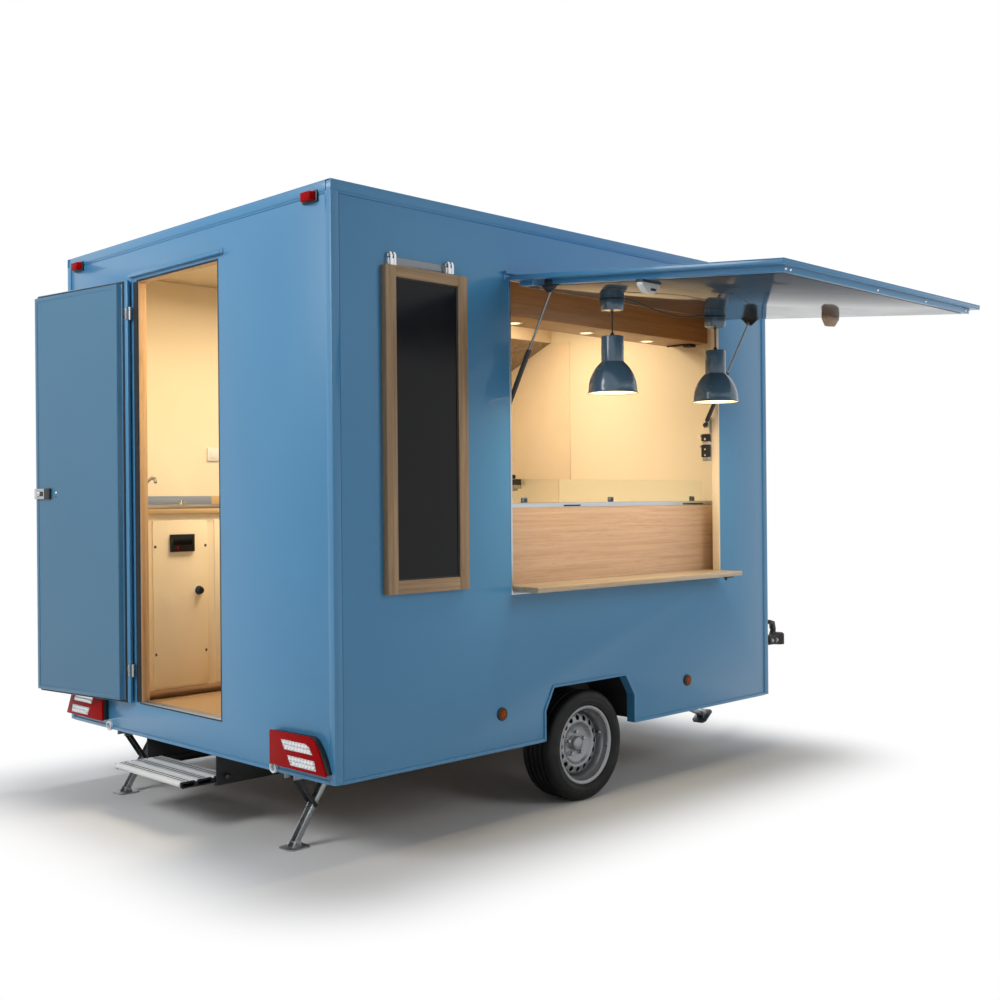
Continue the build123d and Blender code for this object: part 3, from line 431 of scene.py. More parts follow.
# Zinc: flat crystal patches, each with its own brightness and gloss, under a slow cloud of tone
def zincMaterial(name, shades, crystal, gloss, cloudSize=90, relief=0.02):
    material, tree, shader, coord = startMaterial(name, Metallic=0.85)
    patch = addNode(tree, "ShaderNodeTexVoronoi", {"Scale": 1 / (crystal * mm)}, {"Vector": coord})
    tone = addNode(tree, "ShaderNodeSeparateColor", links={"Color": patch.outputs["Color"]})
    cloud = addNode(
        tree, "ShaderNodeTexNoise", {"Scale": 1 / (cloudSize * mm), "Detail": 5}, {"Vector": coord}
    ).outputs["Fac"]
    mixed = addNode(tree, "ShaderNodeMath", links={0: tone.outputs[0], 1: cloud}, operation="MULTIPLY")
    colour = addNode(
        tree, "ShaderNodeMix", betweenShades(shades), {0: mixed.outputs[0]}, data_type="RGBA"
    )
    sheen = addNode(tree, "ShaderNodeMapRange", glossRange(gloss), {"Value": tone.outputs[1]})
    bump = addNode(tree, "ShaderNodeBump", {"Distance": relief * mm}, {"Height": cloud})
    joinFinish(tree, shader, colour, sheen, bump)
    return material


galvanised = zincMaterial("galvanised_steel", ("#868b8e", "#b4b8ba"), 14, (0.32, 0.5))
zincPlated = zincMaterial("zinc_plated_steel", ("#969a9c", "#aeb2b4"), 26, (0.24, 0.32))

# The lines below give two shades, their patch size, a roughness range, then the grain's size and relief
# Grains are coarser than the real ones, so that they show
# Powder coat, ABS, PVC and rubber: near black, from a soft sheen to almost none, with a fine grain
blackSteel = driftMaterial("black_powder_coat", ("#17181a", "#222426"), 60, (0.42, 0.56), 1.6, 0.05)
blackPlastic = driftMaterial("black_abs", ("#111213", "#1b1c1e"), 40, (0.38, 0.5), 1.1, 0.04)
cordSheath = driftMaterial("black_pvc_sheath", ("#0d0d0e", "#171718"), 12, (0.4, 0.5), 0.9, 0.03)
tyreRubber = driftMaterial("tyre_rubber", ("#09090a", "#101011"), 70, (0.45, 0.62), 1.4, 0.05, IOR=1.35)
sealRubber = driftMaterial("seal_rubber", ("#0b0b0c", "#141415"), 30, (0.55, 0.7), 1.2, 0.04)
# Sprayed silver is smooth and bright, sand-cast iron dull and pitted
rimSilver = driftMaterial(
    "silver_lacquer", ("#8b8e91", "#989b9e"), 60, (0.27, 0.34), 6, 0.002, Metallic=0.55
)
castIron = driftMaterial("cast_iron", ("#2c2b2a", "#413d39"), 22, (0.6, 0.8), 2.2, 0.2, Metallic=0.4)
# Laminates and PVC profile: warm and even, with a pressed grain that softens the light
creamLaminate = driftMaterial("cream_laminate", ("#f7e6c4", "#faedd0"), 160, (0.34, 0.44), 2.5, 0.02)
beigeLaminate = driftMaterial("beige_laminate", ("#cfae7d", "#d8b988"), 160, (0.3, 0.4), 2.5, 0.02)
jambCream = driftMaterial("cream_pvc_profile", ("#eed9b8", "#f4e2c6"), 120, (0.35, 0.45), 2.5, 0.02)
# Sheet vinyl: a fine warm speckle, duller than the laminates
floorSheet = driftMaterial("vinyl_floor_sheet", ("#9a7c58", "#af906a"), 5, (0.4, 0.55), 1.2, 0.05)
# Gloss laminate: dark grey and very smooth, a faint mirror; the dark grey is painted reflection of grey
# surroundings
greyLeafReflection = driftMaterial("grey_laminate", ("#434d57", "#4c5761"), 200, (0.05, 0.09), 8, 0.004, IOR=1.14)
# Enamels and lacquer: glossy, with a slight orange peel that softens the edges of reflections
# The hood's brown is painted shade: it stands for the shade on its sloping underside
hoodShadeBrown = driftMaterial(
    "brown_enamel", ("#7c6248", "#8a6f53"), 120, (0.22, 0.32), 6, 0.02, Coat_Weight=0.3
)
lampEnamel = driftMaterial(
    "blue_grey_enamel", ("#4d6b80", "#56758b"), 60, (0.2, 0.3), 5, 0.012, Coat_Weight=0.5
)
whiteEnamel = driftMaterial("white_enamel", ("#f0ece2", "#f6f3ea"), 60, (0.25, 0.35), 5, 0.012)
slateBoard = driftMaterial(
    "black_chalkboard_lacquer", ("#101114", "#17181b"), 150, (0.12, 0.22), 3, 0.006, IOR=1.28
)
# Moulded nylon and coated plate: off-white and satin
whiteNylon = driftMaterial("white_nylon", ("#dfe0de", "#ecedeb"), 25, (0.42, 0.55), 1.2, 0.03)
whitePlate = driftMaterial("white_coated_aluminium", ("#d9dcdd", "#e4e6e7"), 40, (0.3, 0.42), 2, 0.02)


# Acrylic lens: a glossy coloured face crossed by moulded ribs
def lensMaterial(name, shades, rib, ribRelief=0.08):
    material, tree, shader, coord = startMaterial(name, Roughness=0.12, IOR=1.12, Transmission_Weight=0.1)
    cells = addNode(
        tree, "ShaderNodeTexWave", {"Scale": 1 / (rib * mm) / math.tau, "Distortion": 0}, {"Vector": coord},
        bands_direction="Z",
    ).outputs["Fac"]
    colour = addNode(tree, "ShaderNodeMix", betweenShades(shades), {0: cells}, data_type="RGBA")
    bump = addNode(tree, "ShaderNodeBump", {"Distance": ribRelief * mm}, {"Height": cells})
    tree.links.new(colour.outputs[2], shader.inputs["Base Color"])
    tree.links.new(bump.outputs["Normal"], shader.inputs["Normal"])
    return material


redLens = lensMaterial("red_acrylic", ("#9a0407", "#b1070b"), 5)
amberLens = lensMaterial("amber_acrylic", ("#8f3d07", "#bb5c10"), 4)
clearLens = lensMaterial("clear_acrylic", ("#b9bec2", "#eef0f0"), 6)

# Float glass: clear, with faint smears that only show in its gloss
clearGlass, tree, shader, coord = startMaterial(
    "float_glass", Base_Color=hexColour("#f4faf7"), IOR=1.1, Transmission_Weight=1.0
)
smear = addNode(tree, "ShaderNodeTexNoise", {"Scale": 1 / (60 * mm), "Detail": 4}, {"Vector": coord})
film = addNode(
    tree, "ShaderNodeMapRange", {"From Min": 0.5, "From Max": 0.8, "To Min": 0.0, "To Max": 0.08},
    {"Value": smear.outputs["Fac"]},
)
tree.links.new(film.outputs[0], shader.inputs["Roughness"])


# Lit faces: an opal diffuser, a little uneven in its brightness
def glowMaterial(name, colour, strength, cloudSize=30):
    material, tree, shader, coord = startMaterial(
        name, Base_Color=hexColour("#f7f2e6"), Roughness=0.4, Emission_Color=hexColour(colour)
    )
    cloud = addNode(
        tree, "ShaderNodeTexNoise", {"Scale": 1 / (cloudSize * mm), "Detail": 1}, {"Vector": coord}
    )
    level = addNode(
        tree, "ShaderNodeMapRange", {"To Min": strength * 0.8, "To Max": strength * 1.2},
        {"Value": cloud.outputs["Fac"]},
    )
    tree.links.new(level.outputs[0], shader.inputs["Emission Strength"])
    return material


warmGlow = glowMaterial("warm_bulb_glass", "#ffdf9e", 4.0)
spotGlow = glowMaterial("warm_downlight", "#ffe9bd", 2.2)
print("materials made")

slotFinish = {
    "painted_panel": gelcoatPanel, "floor_sheet": floorSheet, "black_steel": blackSteel,
    "galvanised": galvanised, "zinc": zincPlated, "tyre_rubber": tyreRubber, "rim_silver": rimSilver,
    "drum_iron": castIron, "oak": oakAlong, "slate_board": slateBoard, "worktop_aluminium": brushedAluminium,
    "clear_glass": clearGlass, "black_plastic": blackPlastic, "red_lens": redLens, "marker_lens": amberLens,
    "chrome_rod": rodSteel, "cream_laminate": creamLaminate, "hood_brown": hoodShadeBrown,
    "lamp_enamel": lampEnamel, "cord_black": cordSheath,
}
slotOfNode = {part["node"]: part["material_slot"] for part in frame["record"]["subparts"]}
for name, node in nodes.items():
    node.data.materials.clear()
    node.data.materials.append(slotFinish[slotOfNode[name]])
print("finishes set on", len(nodes), "nodes")


# Cords: two straight pendant cords and the slack lead between the canopies, on the model's own route
def addCord(name, points, diameter, node):
    curve = bpy.data.curves.new(name, "CURVE")
    curve.dimensions = "3D"
    curve.bevel_depth = diameter / 2 * mm
    curve.bevel_resolution = 4
    curve.resolution_u = 8
    spline = curve.splines.new("NURBS")
    spline.points.add(len(points) - 1)
    for point, place in zip(spline.points, points):
        point.co = (*place, 1)
    spline.order_u = 3
    spline.use_endpoint_u = True
    curve.materials.append(cordSheath)
    piece = bpy.data.objects.new(name, curve)
    scene.collection.objects.link(piece)
    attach(piece, "flap")
    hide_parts(node)


pendant = {"x": (1322, 2108), "y": -305, "canopyLow": 2266, "shadeTop": 2152, "cord": 7, "lead": 686}
linkRoute = (
    (1374, 2332), (1440, 2327), (1535, 2316), (1632, 2301), (1732, 2290),
    (1832, 2287), (1925, 2299), (1995, 2311), (2056, 2316),
)
drop = pendant["canopyLow"] - pendant["shadeTop"]
for end, x in zip(("rear", "front"), pendant["x"]):
    straight = [at(x, pendant["y"], pendant["canopyLow"] - drop * share) for share in (0, 0.33, 0.67, 1)]
    addCord("pendant_flex_" + end, straight, pendant["cord"], "pendant_cord_" + end)
slack = [at(x, pendant["y"], z) for x, z in linkRoute]
addCord("link_lead", slack, pendant["cord"], "link_cable")
print("cords laid")


# a node's own shape with its flat faces merged and its edges rounded, in its finish
def addSoftCopy(node, bevel, material=None):
    bm = bmesh.new()
    bm.from_mesh(nodes[node].data)
    bmesh.ops.remove_doubles(bm, verts=bm.verts, dist=mergeGap)
    bmesh.ops.dissolve_limit(bm, angle_limit=math.radians(1), verts=bm.verts, edges=bm.edges)
    slot = slotOfNode[node]
    addPiece(
        node + "_dressed", bm, material or slotFinish[slot], nodes[node]["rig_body"],
        bevel=bevel, slot=slot, replaced=(node,), turn=False,
    )


softTable = (
    # node, edge radius, finish where it isn't the slot's own
    ("rear_wall", 3, None),
    ("right_wall", 3, None),
    ("left_wall", 3, None),
    ("front_wall", 3, None),
    ("roof_panel", 4, None),
    ("floor_panel", 1, None),
    ("rear_door", 4, gelcoatBlue),
    ("wheel_boxes", 2, None),
    ("chassis_frame", 3, None),
    ("drawbar", 4, None),
    ("axle_beam", 2, None),
    ("serving_shelf", 3, oakShelf),
    ("serving_counter", 1.5, None),
    ("back_counter", 1.5, None),
    ("worktops", 2, None),
    ("pelmet", 1.5, oakPelmetShade),
    ("extractor_hood", 2, None),
    ("glass_guard", 1, None),
    ("strut_brackets", 1, None),
    ("step_guides", 1.5, None),
    ("steady_bases", 1.5, None),
)
for node, bevel, material in softTable:
    addSoftCopy(node, bevel, material)
print("panels dressed:", len(softTable))

# Edge trims folded from the body's own blue sheet: roof caps, corner angles and skirt strips
trim = {
    "proud": 3, "roofBand": 40, "roofLap": 30, "roofRise": 2, "corner": 34,
    "skirtBand": 13, "skirtDrop": 2, "archGap": 8, "bevel": 1.4,
}
proud, corner = trim["proud"], trim["corner"]
bandZ = roofZ - trim["roofBand"]
capZ = roofZ + trim["roofRise"]
bm = bmesh.new()
for flip in (False, True):
    cap = (
        (-proud, bandZ), (0, bandZ), (0, roofZ),
        (trim["roofLap"], roofZ), (trim["roofLap"], capZ), (-proud, capZ),
    )
    endCap = [(bodyLength - a if flip else a, z) for a, z in cap]
    sideCap = [(bodyWidth - a if flip else a, z) for a, z in cap]
    addProfile(bm, "y", endCap, trim["roofLap"], bodyWidth - trim["roofLap"])
    addProfile(bm, "x", sideCap, -proud, bodyLength + proud)
addPiece("roof_edge_caps", bm, gelcoatBlue, bevel=trim["bevel"], slot="painted_panel")
bm = bmesh.new()
angleFold = ((-proud, -proud), (corner, -proud), (corner, 0), (0, 0), (0, corner), (-proud, corner))
for flipX in (False, True):
    for flipY in (False, True):
        turned = [(bodyLength - x if flipX else x, bodyWidth - y if flipY else y) for x, y in angleFold]
        addProfile(bm, "z", turned, skirtZ, bandZ)
addPiece("corner_angles", bm, gelcoatBlue, bevel=trim["bevel"], slot="painted_panel")

# Wheel arches: the skirt strips break there, a flange goes round each opening
arch = {
    "outline": ((1191, 330), (1191, 468), (1248, 571), (1768, 571), (1834, 468), (1834, 330)),
    "width": 9, "proud": 4, "sunk": 1, "returnDepth": 44, "returnSkin": 3,
}
archStart, archEnd = arch["outline"][0][0], arch["outline"][-1][0]
stripLow, stripHigh = skirtZ - trim["skirtDrop"], skirtZ + trim["skirtBand"]
strips = []
for y0, y1 in ((-proud, 0), (bodyWidth, bodyWidth + proud)):
    for x0, x1 in ((corner, archStart - trim["archGap"]), (archEnd + trim["archGap"], bodyLength - corner)):
        strips.append(((x0, y0, stripLow), (x1, y1, stripHigh)))
for x0, x1 in ((-proud, 0), (bodyLength, bodyLength + proud)):
    strips.append(((x0, corner, stripLow), (x1, bodyWidth - corner, stripHigh)))
addBoxPiece("skirt_strips", strips, gelcoatBlue, bevel=1, slot="painted_panel")


# an open path moved to its left by one width, mitred at its corners
def besidePath(points, width):
    path = [Vector(point) for point in points]
    ways = [(end - start).normalized() for start, end in zip(path, path[1:])]
    lefts = [Vector((-way.y, way.x)) for way in ways]
    corners = zip(path, lefts[:1] + lefts, lefts + lefts[-1:])
    return [place + (before + after) * width / (1 + before.dot(after)) for place, before, after in corners]


flange = list(arch["outline"]) + besidePath(arch["outline"], arch["width"])[::-1]
bm = bmesh.new()
addProfile(bm, "y", flange, -arch["proud"], arch["sunk"])
addProfile(bm, "y", flange, bodyWidth - arch["sunk"], bodyWidth + arch["proud"])
addPiece("arch_flanges", bm, gelcoatBlue, bevel=1, slot="painted_panel")
print("trims added")

# Rear door: drawn shut and turned open about its pin with the leaf
doorLeaf = {
    "pin": (-15, 1540), "open": 172, "lip": ((795, 481), (1531, 2487)), "plug": ((812, 496), (1488, 2468)),
    "face": 20, "band": 20, "bandRise": 3, "skinInset": 4, "skinX": (19, 20.8),
    "seal": 11, "sealInset": ((3, 3), (22, 5)), "sealX": (-6, -1.4),
}


def addDoorPiece(name, bm, material, bevel, slot):
    turn = Matrix.Rotation(math.radians(-doorLeaf["open"]), 3, "Z")
    bmesh.ops.rotate(bm, cent=at(*doorLeaf["pin"], 0), matrix=turn, verts=bm.verts)
    addPiece(name, bm, material, "door", bevel=bevel, slot=slot)


# The face band and the inner skin carry the door's darker blue, which is painted shade
bm = bmesh.new()
addRing(
    bm, "x", *doorLeaf["plug"], doorLeaf["band"], doorLeaf["face"], doorLeaf["face"] + doorLeaf["bandRise"]
)
addDoorPiece("door_face_band", bm, gelcoatDoorShade, 1.2, "painted_panel")
bm = bmesh.new()
(plugY0, plugZ0), (plugY1, plugZ1) = doorLeaf["plug"]
skinX0, skinX1 = doorLeaf["skinX"]
inset = doorLeaf["skinInset"]
addBox(bm, (skinX0, plugY0 + inset, plugZ0 + inset), (skinX1, plugY1 - inset, plugZ1 - inset))
addDoorPiece("door_inner_skin", bm, gelcoatDoorShade, 0, "painted_panel")
bm = bmesh.new()
(lipY0, lipZ0), (lipY1, lipZ1) = doorLeaf["lip"]
(insetY0, insetZ0), (insetY1, insetZ1) = doorLeaf["sealInset"]
sealLow, sealHigh = (lipY0 + insetY0, lipZ0 + insetZ0), (lipY1 - insetY1, lipZ1 - insetZ1)
addRing(bm, "x", sealLow, sealHigh, doorLeaf["seal"], *doorLeaf["sealX"])
addDoorPiece("door_seal", bm, sealRubber, 2, "black_plastic")

# Latch with its knob and keeper, and a handle outside; heights are from the latch's middle
latch = {
    "z": 1480,
    "case": (
        ((20, 814, -26), (35, 896, 26)), ((-25, 790, -20), (-4, 796, 20)), ((-6, 794, -20), (-3, 812, 20)),
    ),
    "knob": ((0, 4), (11, 4), (13, 2), (13, 0)), "knobPlace": (35, 842, 0),
    "thumbTurn": ((35, 838, -18), (44, 846, 18)),
    "stud": ((0, 3), (4, 2.4), (6, 0)), "studPlace": (20, 978, 5),
    "keeper": (((20, 896, -27), (33, 940, 27)), ((34, 860, -12), (35.6, 890, 12))),
    "keyhole": ((0, 1), (5, 1), (6, 0)), "keyholePlace": (20, 978, -14),
    "handle": ((838, -44), (968, 44)), "handleWidth": 14, "handleX": (-32, -23),
    "paddle": ((-29, 866, -12), (-25, 944, 30)),
}


def fromLatch(x, y, z):
    return x, y, z + latch["z"]


def addLatchBoxes(bm, boxes):
    for low, high in boxes:
        addBox(bm, fromLatch(*low), fromLatch(*high))


bm = bmesh.new()
addLatchBoxes(bm, latch["case"])
addDoorPiece("door_latch_case", bm, stainless, 2.2, "zinc")
bm = bmesh.new()
addTurned(bm, latch["knob"], at(*fromLatch(*latch["knobPlace"])), "x", 28)
addLatchBoxes(bm, [latch["thumbTurn"]])
addTurned(bm, latch["stud"], at(*fromLatch(*latch["studPlace"])), "x", 16)
addDoorPiece("door_latch_knob", bm, chrome, 1.5, "chrome_rod")
bm = bmesh.new()
addLatchBoxes(bm, latch["keeper"])
addTurned(bm, latch["keyhole"], at(*fromLatch(*latch["keyholePlace"])), "x", 16)
addDoorPiece("door_latch_keeper", bm, blackPlastic, 1.2, "black_plastic")
bm = bmesh.new()
handleLow, handleHigh = ((y, z + latch["z"]) for y, z in latch["handle"])
addRing(bm, "x", handleLow, handleHigh, latch["handleWidth"], *latch["handleX"])
addLatchBoxes(bm, [latch["paddle"]])
addDoorPiece("door_outer_handle", bm, blackPlastic, 3, "black_plastic")

# Hinge leaves on the door's edge, each with two screws
hingeLeaf = {
    "z": (637, 2328), "x": (-6, -2), "y": (1511, 1529), "half": 30, "screwY": 1520, "screwHalf": 18,
    "screw": ((0, 0.7), (4, 0.6), (4.8, 0)),
}
(leafBack, leafFace), (leafNear, leafFar) = hingeLeaf["x"], hingeLeaf["y"]
bm = bmesh.new()
for z in hingeLeaf["z"]:
    addBox(bm, (leafBack, leafNear, z - hingeLeaf["half"]), (leafFace, leafFar, z + hingeLeaf["half"]))
    for screwZ in (z - hingeLeaf["screwHalf"], z + hingeLeaf["screwHalf"]):
        addTurned(bm, hingeLeaf["screw"], at(leafFace, hingeLeaf["screwY"], screwZ), "x", 16)
addDoorPiece("door_hinge_leaves", bm, zincPlated, 0.8, "zinc")

# Doorway: rubber edge trim outside, oak jamb liners, an aluminium sill plate and a folded drip rail
doorway = {
    "low": (804, 488), "high": (1496, 2476), "edge": 7, "edgeX": (-0.7, 4), "hingeSeal": 30,
    "hingeSealX": (-0.8, 0), "liner": 3, "linerX": (5, 44), "sill": 2.5, "sillX": (-0.5, 46),
    "ridges": 5, "ridgeX": 3, "ridgePitch": 8, "ridgeWidth": 3, "ridgeRise": 1.5,
}
(doorY0, doorZ0), (doorY1, doorZ1) = doorway["low"], doorway["high"]
edge, liner = doorway["edge"], doorway["liner"]
linerX0, linerX1 = doorway["linerX"]
bm = bmesh.new()
addRing(
    bm, "x", (doorY0 - edge, doorZ0 - edge), (doorY1 + edge, doorZ1 + edge), edge, *doorway["edgeX"]
)
addPiece("doorway_edge_trim", bm, sealRubber, bevel=0.5, slot="black_plastic")
# A black strip on the wall by the door's hinge side is painted shadow: the door's contact shadow, drawn in
# seal rubber
hingeSideY = doorY1 + edge
shadowStripX0, shadowStripX1 = doorway["hingeSealX"]
hingeSeal = ((shadowStripX0, hingeSideY, doorZ0), (shadowStripX1, hingeSideY + doorway["hingeSeal"], doorZ1))
addBoxPiece("hinge_side_seal", [hingeSeal], sealRubber, slot="black_plastic")
liners = (
    ((linerX0, doorY1 - liner, doorZ0 + liner), (linerX1, doorY1, doorZ1)),
    ((linerX0, doorY0, doorZ0 + liner), (linerX1, doorY0 + liner, doorZ1)),
    ((linerX0, doorY0 + liner, doorZ1 - liner), (linerX1, doorY1 - liner, doorZ1)),
)
addBoxPiece("doorway_liners", liners, oakUprightPale, bevel=0.8, slot="oak")
sillTop, ridgeTop = doorZ0 + doorway["sill"], doorZ0 + doorway["sill"] + doorway["ridgeRise"]
sill = [((doorway["sillX"][0], doorY0 + 1, doorZ0), (doorway["sillX"][1], doorY1 - 1, sillTop))]
for ridge in range(doorway["ridges"]):
    x = doorway["ridgeX"] + ridge * doorway["ridgePitch"]
    sill.append(((x, doorY0 + 4, sillTop), (x + doorway["ridgeWidth"], doorY1 - 4, ridgeTop)))
addBoxPiece("doorway_sill", sill, brushedAluminium, bevel=0.6, slot="worktop_aluminium")
dripRail = {"y": (758, 1550), "z": 2497, "out": 21, "rise": 13, "back": 26, "skin": 2.5}
railZ, out, skin = dripRail["z"], dripRail["out"], dripRail["skin"]
lipZ, backZ = railZ + dripRail["rise"], railZ + dripRail["back"]
gutter = (
    (0, railZ), (-out, railZ), (-out, lipZ), (skin - out, lipZ),
    (skin - out, railZ + skin), (-skin, railZ + skin), (-skin, backZ), (0, backZ),
)
bm = bmesh.new()
addProfile(bm, "y", gutter, *dripRail["y"])
addPiece("door_drip_rail", bm, gelcoatBlue, bevel=0.8, slot="painted_panel")

# Tail lamps: a black base, a red lens with rounded edges and two clear windows of small cells
tailLamp = {
    "base": ((17, 369), (388, 369), (388, 503), (120, 507), (96, 496), (66, 463), (40, 421), (24, 388)),
    "lens": ((13, 366), (392, 366), (392, 506), (118, 510), (94, 499), (73, 481)),
    "windows": (
        ((307, 478), (146, 479), (120, 470), (97, 441), (284, 440)),
        ((264, 419), (86, 419), (74, 380), (242, 381)),
    ),
    "cells": ((469, 128, 300), (450, 112, 290), (409, 90, 258), (391, 84, 246)),
    "cell": ((0, 0), (8.5, 0), (7.5, 1.6), (3, 2.2), (0, 1.2)),
    "cellPitch": 21, "baseX": -27, "lensX": -38, "windowRise": 1.5, "windowSunk": 4,
}
baseX, lensX, cellPitch = tailLamp["baseX"], tailLamp["lensX"], tailLamp["cellPitch"]
windowX = lensX - tailLamp["windowRise"]
layers = (
    # name, outlines, from, to
    ("base", (tailLamp["base"],), baseX, 0),
    ("lens", (tailLamp["lens"],), lensX, baseX),
    ("window", tailLamp["windows"], windowX, lensX + tailLamp["windowSunk"]),
)
lampParts = {name: bmesh.new() for name in ("base", "lens", "window")}
cellPlaces = []
for flip in (False, True):
    for name, outlines, start, end in layers:
        for outline in outlines:
            shape = [(bodyWidth - y if flip else y, z) for y, z in outline]
            addProfile(lampParts[name], "x", shape, start, end)
    for z, near, far in tailLamp["cells"]:
        for index in range(int((far - near) / cellPitch)):
            y = near + (index + 0.5) * cellPitch
            cellPlaces.append(at(windowX, bodyWidth - y if flip else y, z))
addPiece(
    "tail_lamp_bases", lampParts["base"], blackPlastic, bevel=5, segments=3, slot="black_plastic",
    replaced=("tail_lamps",),
)
addPiece("tail_lamp_lenses", lampParts["lens"], redLens, bevel=5, segments=3, slot="red_lens")
addPiece("tail_lamp_windows", lampParts["window"], clearLens, bevel=1, slot="clear_glass")
addTurnedPiece(
    "tail_lamp_cells", tailLamp["cell"], cellPlaces, towardsRear, 12, chrome, slot="chrome_rod"
)

# Markers: red ones at the rear roof corners, amber round ones along both sides
marker = {
    "rearY": (125, bodyWidth - 125), "rearZ": 2625, "half": (48, 22), "baseX": -9,
    "lens": ((-33, -0.62), (-33, 0.62), (-9, 0.86), (-9, -0.86)), "lensInset": 4,
    "sideX": (912, 2268), "sideZ": 490,
    "cup": ((0, 0), (29, 0), (29, 6), (27, 8), (20, 8), (20, 3), (0, 3)),
    "dome": ((0, 4), (20, 4), (19.5, 9), (16, 12.5), (11, 12), (9, 13.2), (0, 14)),
}
halfY, halfZ = marker["half"]
markerLow, markerHigh = marker["rearZ"] - halfZ, marker["rearZ"] + halfZ
bases, reds, ambers = bmesh.new(), bmesh.new(), bmesh.new()
for y in marker["rearY"]:
    addBox(bases, (marker["baseX"], y - halfY, markerLow), (0, y + halfY, markerHigh))
    outline = [(x, y + share * halfY) for x, share in marker["lens"]]
    addProfile(reds, "z", outline, markerLow + marker["lensInset"], markerHigh - marker["lensInset"])
for x in marker["sideX"]:
    for y, outward in ((0, towardsRight), (bodyWidth, -towardsRight)):
        seat = at(x, y, marker["sideZ"])
        addTurned(bases, marker["cup"], seat, outward, 36)
        addTurned(ambers, marker["dome"], seat, outward, 36)
addPiece("marker_bases", bases, blackPlastic, bevel=2, slot="black_plastic", replaced=("marker_lamps",))
addPiece("rear_marker_lenses", reds, redLens, bevel=4, segments=3, slot="red_lens")
addPiece("side_marker_lenses", ambers, amberLens, slot="marker_lens")
print("door and lamps added")

# Step: three fluted slats with a round nosing, black side frames and end caps
stepSet = {
    "y": (930, 1515), "treads": ((-130, -58), (-46, 26), (38, 110)), "z": (196, 220), "flute": 6,
    "armX": (-118, 420), "armZ": (190, 212), "arm": 8, "cap": 6, "strips": (26, 44), "stripWidth": 6,
    "catch": ((0, 34), (11, 33), (15, 28), (15, 18), (9, 12), (6, 10), (6, 0), (0, 0)),
    "bolt": ((0, 0), (9, 0), (9, 5), (0, 5)), "catchX": 92, "boltX": (250, 430), "catchY": 918, "catchZ": 214,
}
stepLow, stepTop = stepSet["z"]
stepY0, stepY1 = stepSet["y"]
armX0, armX1 = stepSet["armX"]
armLow, armTop = stepSet["armZ"]
capWidth, arm = stepSet["cap"], stepSet["arm"]
bm = bmesh.new()
for x0, x1 in stepSet["treads"]:
    outline = [(x0 + 8, stepLow), (x1, stepLow), (x1, stepTop)]
    for rib in range(int((x1 - x0 - 22) / (2 * stepSet["flute"]))):
        x = x1 - 3 - rib * 2 * stepSet["flute"]
        outline += [(x, stepTop), (x - 1.5, stepTop - 1.6), (x - 6, stepTop - 1.6), (x - 7.5, stepTop)]
    nose = ((9, stepTop), (3.5, stepTop - 2.6), (0.6, stepTop - 8), (0, stepTop - 13), (2, stepLow + 3))
    outline += [(x0 + x, z) for x, z in nose]
    addProfile(bm, "y", outline, stepY0 + capWidth, stepY1 - capWidth)
addPiece(
    "step_slats", bm, whitePlate, "step", bevel=0.4, segments=1, slot="worktop_aluminium", replaced=("step",)
)
bars = [((armX0, y, armLow), (armX1, y + arm, armTop)) for y in (stepY0, stepY1 - arm)]
for x0, x1 in stepSet["treads"]:
    bars += [((x0 + 4, y, stepLow), (x1, y + capWidth, stepTop - 1)) for y in (stepY0, stepY1 - capWidth)]
bars.append(((armX1 - 16, stepY0 + arm, 193), (armX1, stepY1 - arm, 209)))
# Black plates in the gaps between the slats are painted shadow
for (_, x0), (x1, _) in zip(stepSet["treads"], stepSet["treads"][1:]):
    bars.append(((x0, stepY0 + capWidth, stepLow), (x1, stepY1 - capWidth, stepTop - 7)))
for x0, _ in stepSet["treads"]:
    for x in (x0 + strip for strip in stepSet["strips"]):
        bars.append(((x, stepY0 + 10, stepTop - 2), (x + stepSet["stripWidth"], stepY1 - 10, stepTop + 0.4)))
addBoxPiece("step_side_frames", bars, blackSteel, "step", bevel=2, slot="black_steel")
bm = bmesh.new()
stepCatchY, stepCatchZ = stepSet["catchY"], stepSet["catchZ"]
addTurned(bm, stepSet["catch"], at(stepSet["catchX"], stepCatchY, stepCatchZ), towardsRight, 24)
for x in stepSet["boltX"]:
    addTurned(bm, stepSet["bolt"], at(x, stepCatchY, stepCatchZ), towardsRight, 6)
addPiece("step_catch_knob", bm, blackPlastic, slot="black_plastic")

# Crank rings: white nylon eyes in the rear skirt, and the zinc spindles behind them
crank = {
    "y": (406, 1794), "z": 344, "spindle": 6, "spindleX": (4, -6),
    "ring": ((15, 0), (15, 11), (17, 13), (21, 13), (23, 11), (23, 0), (15, 0)),
}
ringPlaces = [at(0, y, crank["z"]) for y in crank["y"]]
addTurnedPiece("crank_rings", crank["ring"], ringPlaces, towardsRear, 36, whiteNylon, slot="black_plastic")
bm = bmesh.new()
for y in crank["y"]:
    start, end = (at(x, y, crank["z"]) for x in crank["spindleX"])
    addRod(bm, start, end, crank["spindle"], 6)
addPiece("crank_spindles", bm, zincPlated, slot="zinc")
print("step and cranks added")

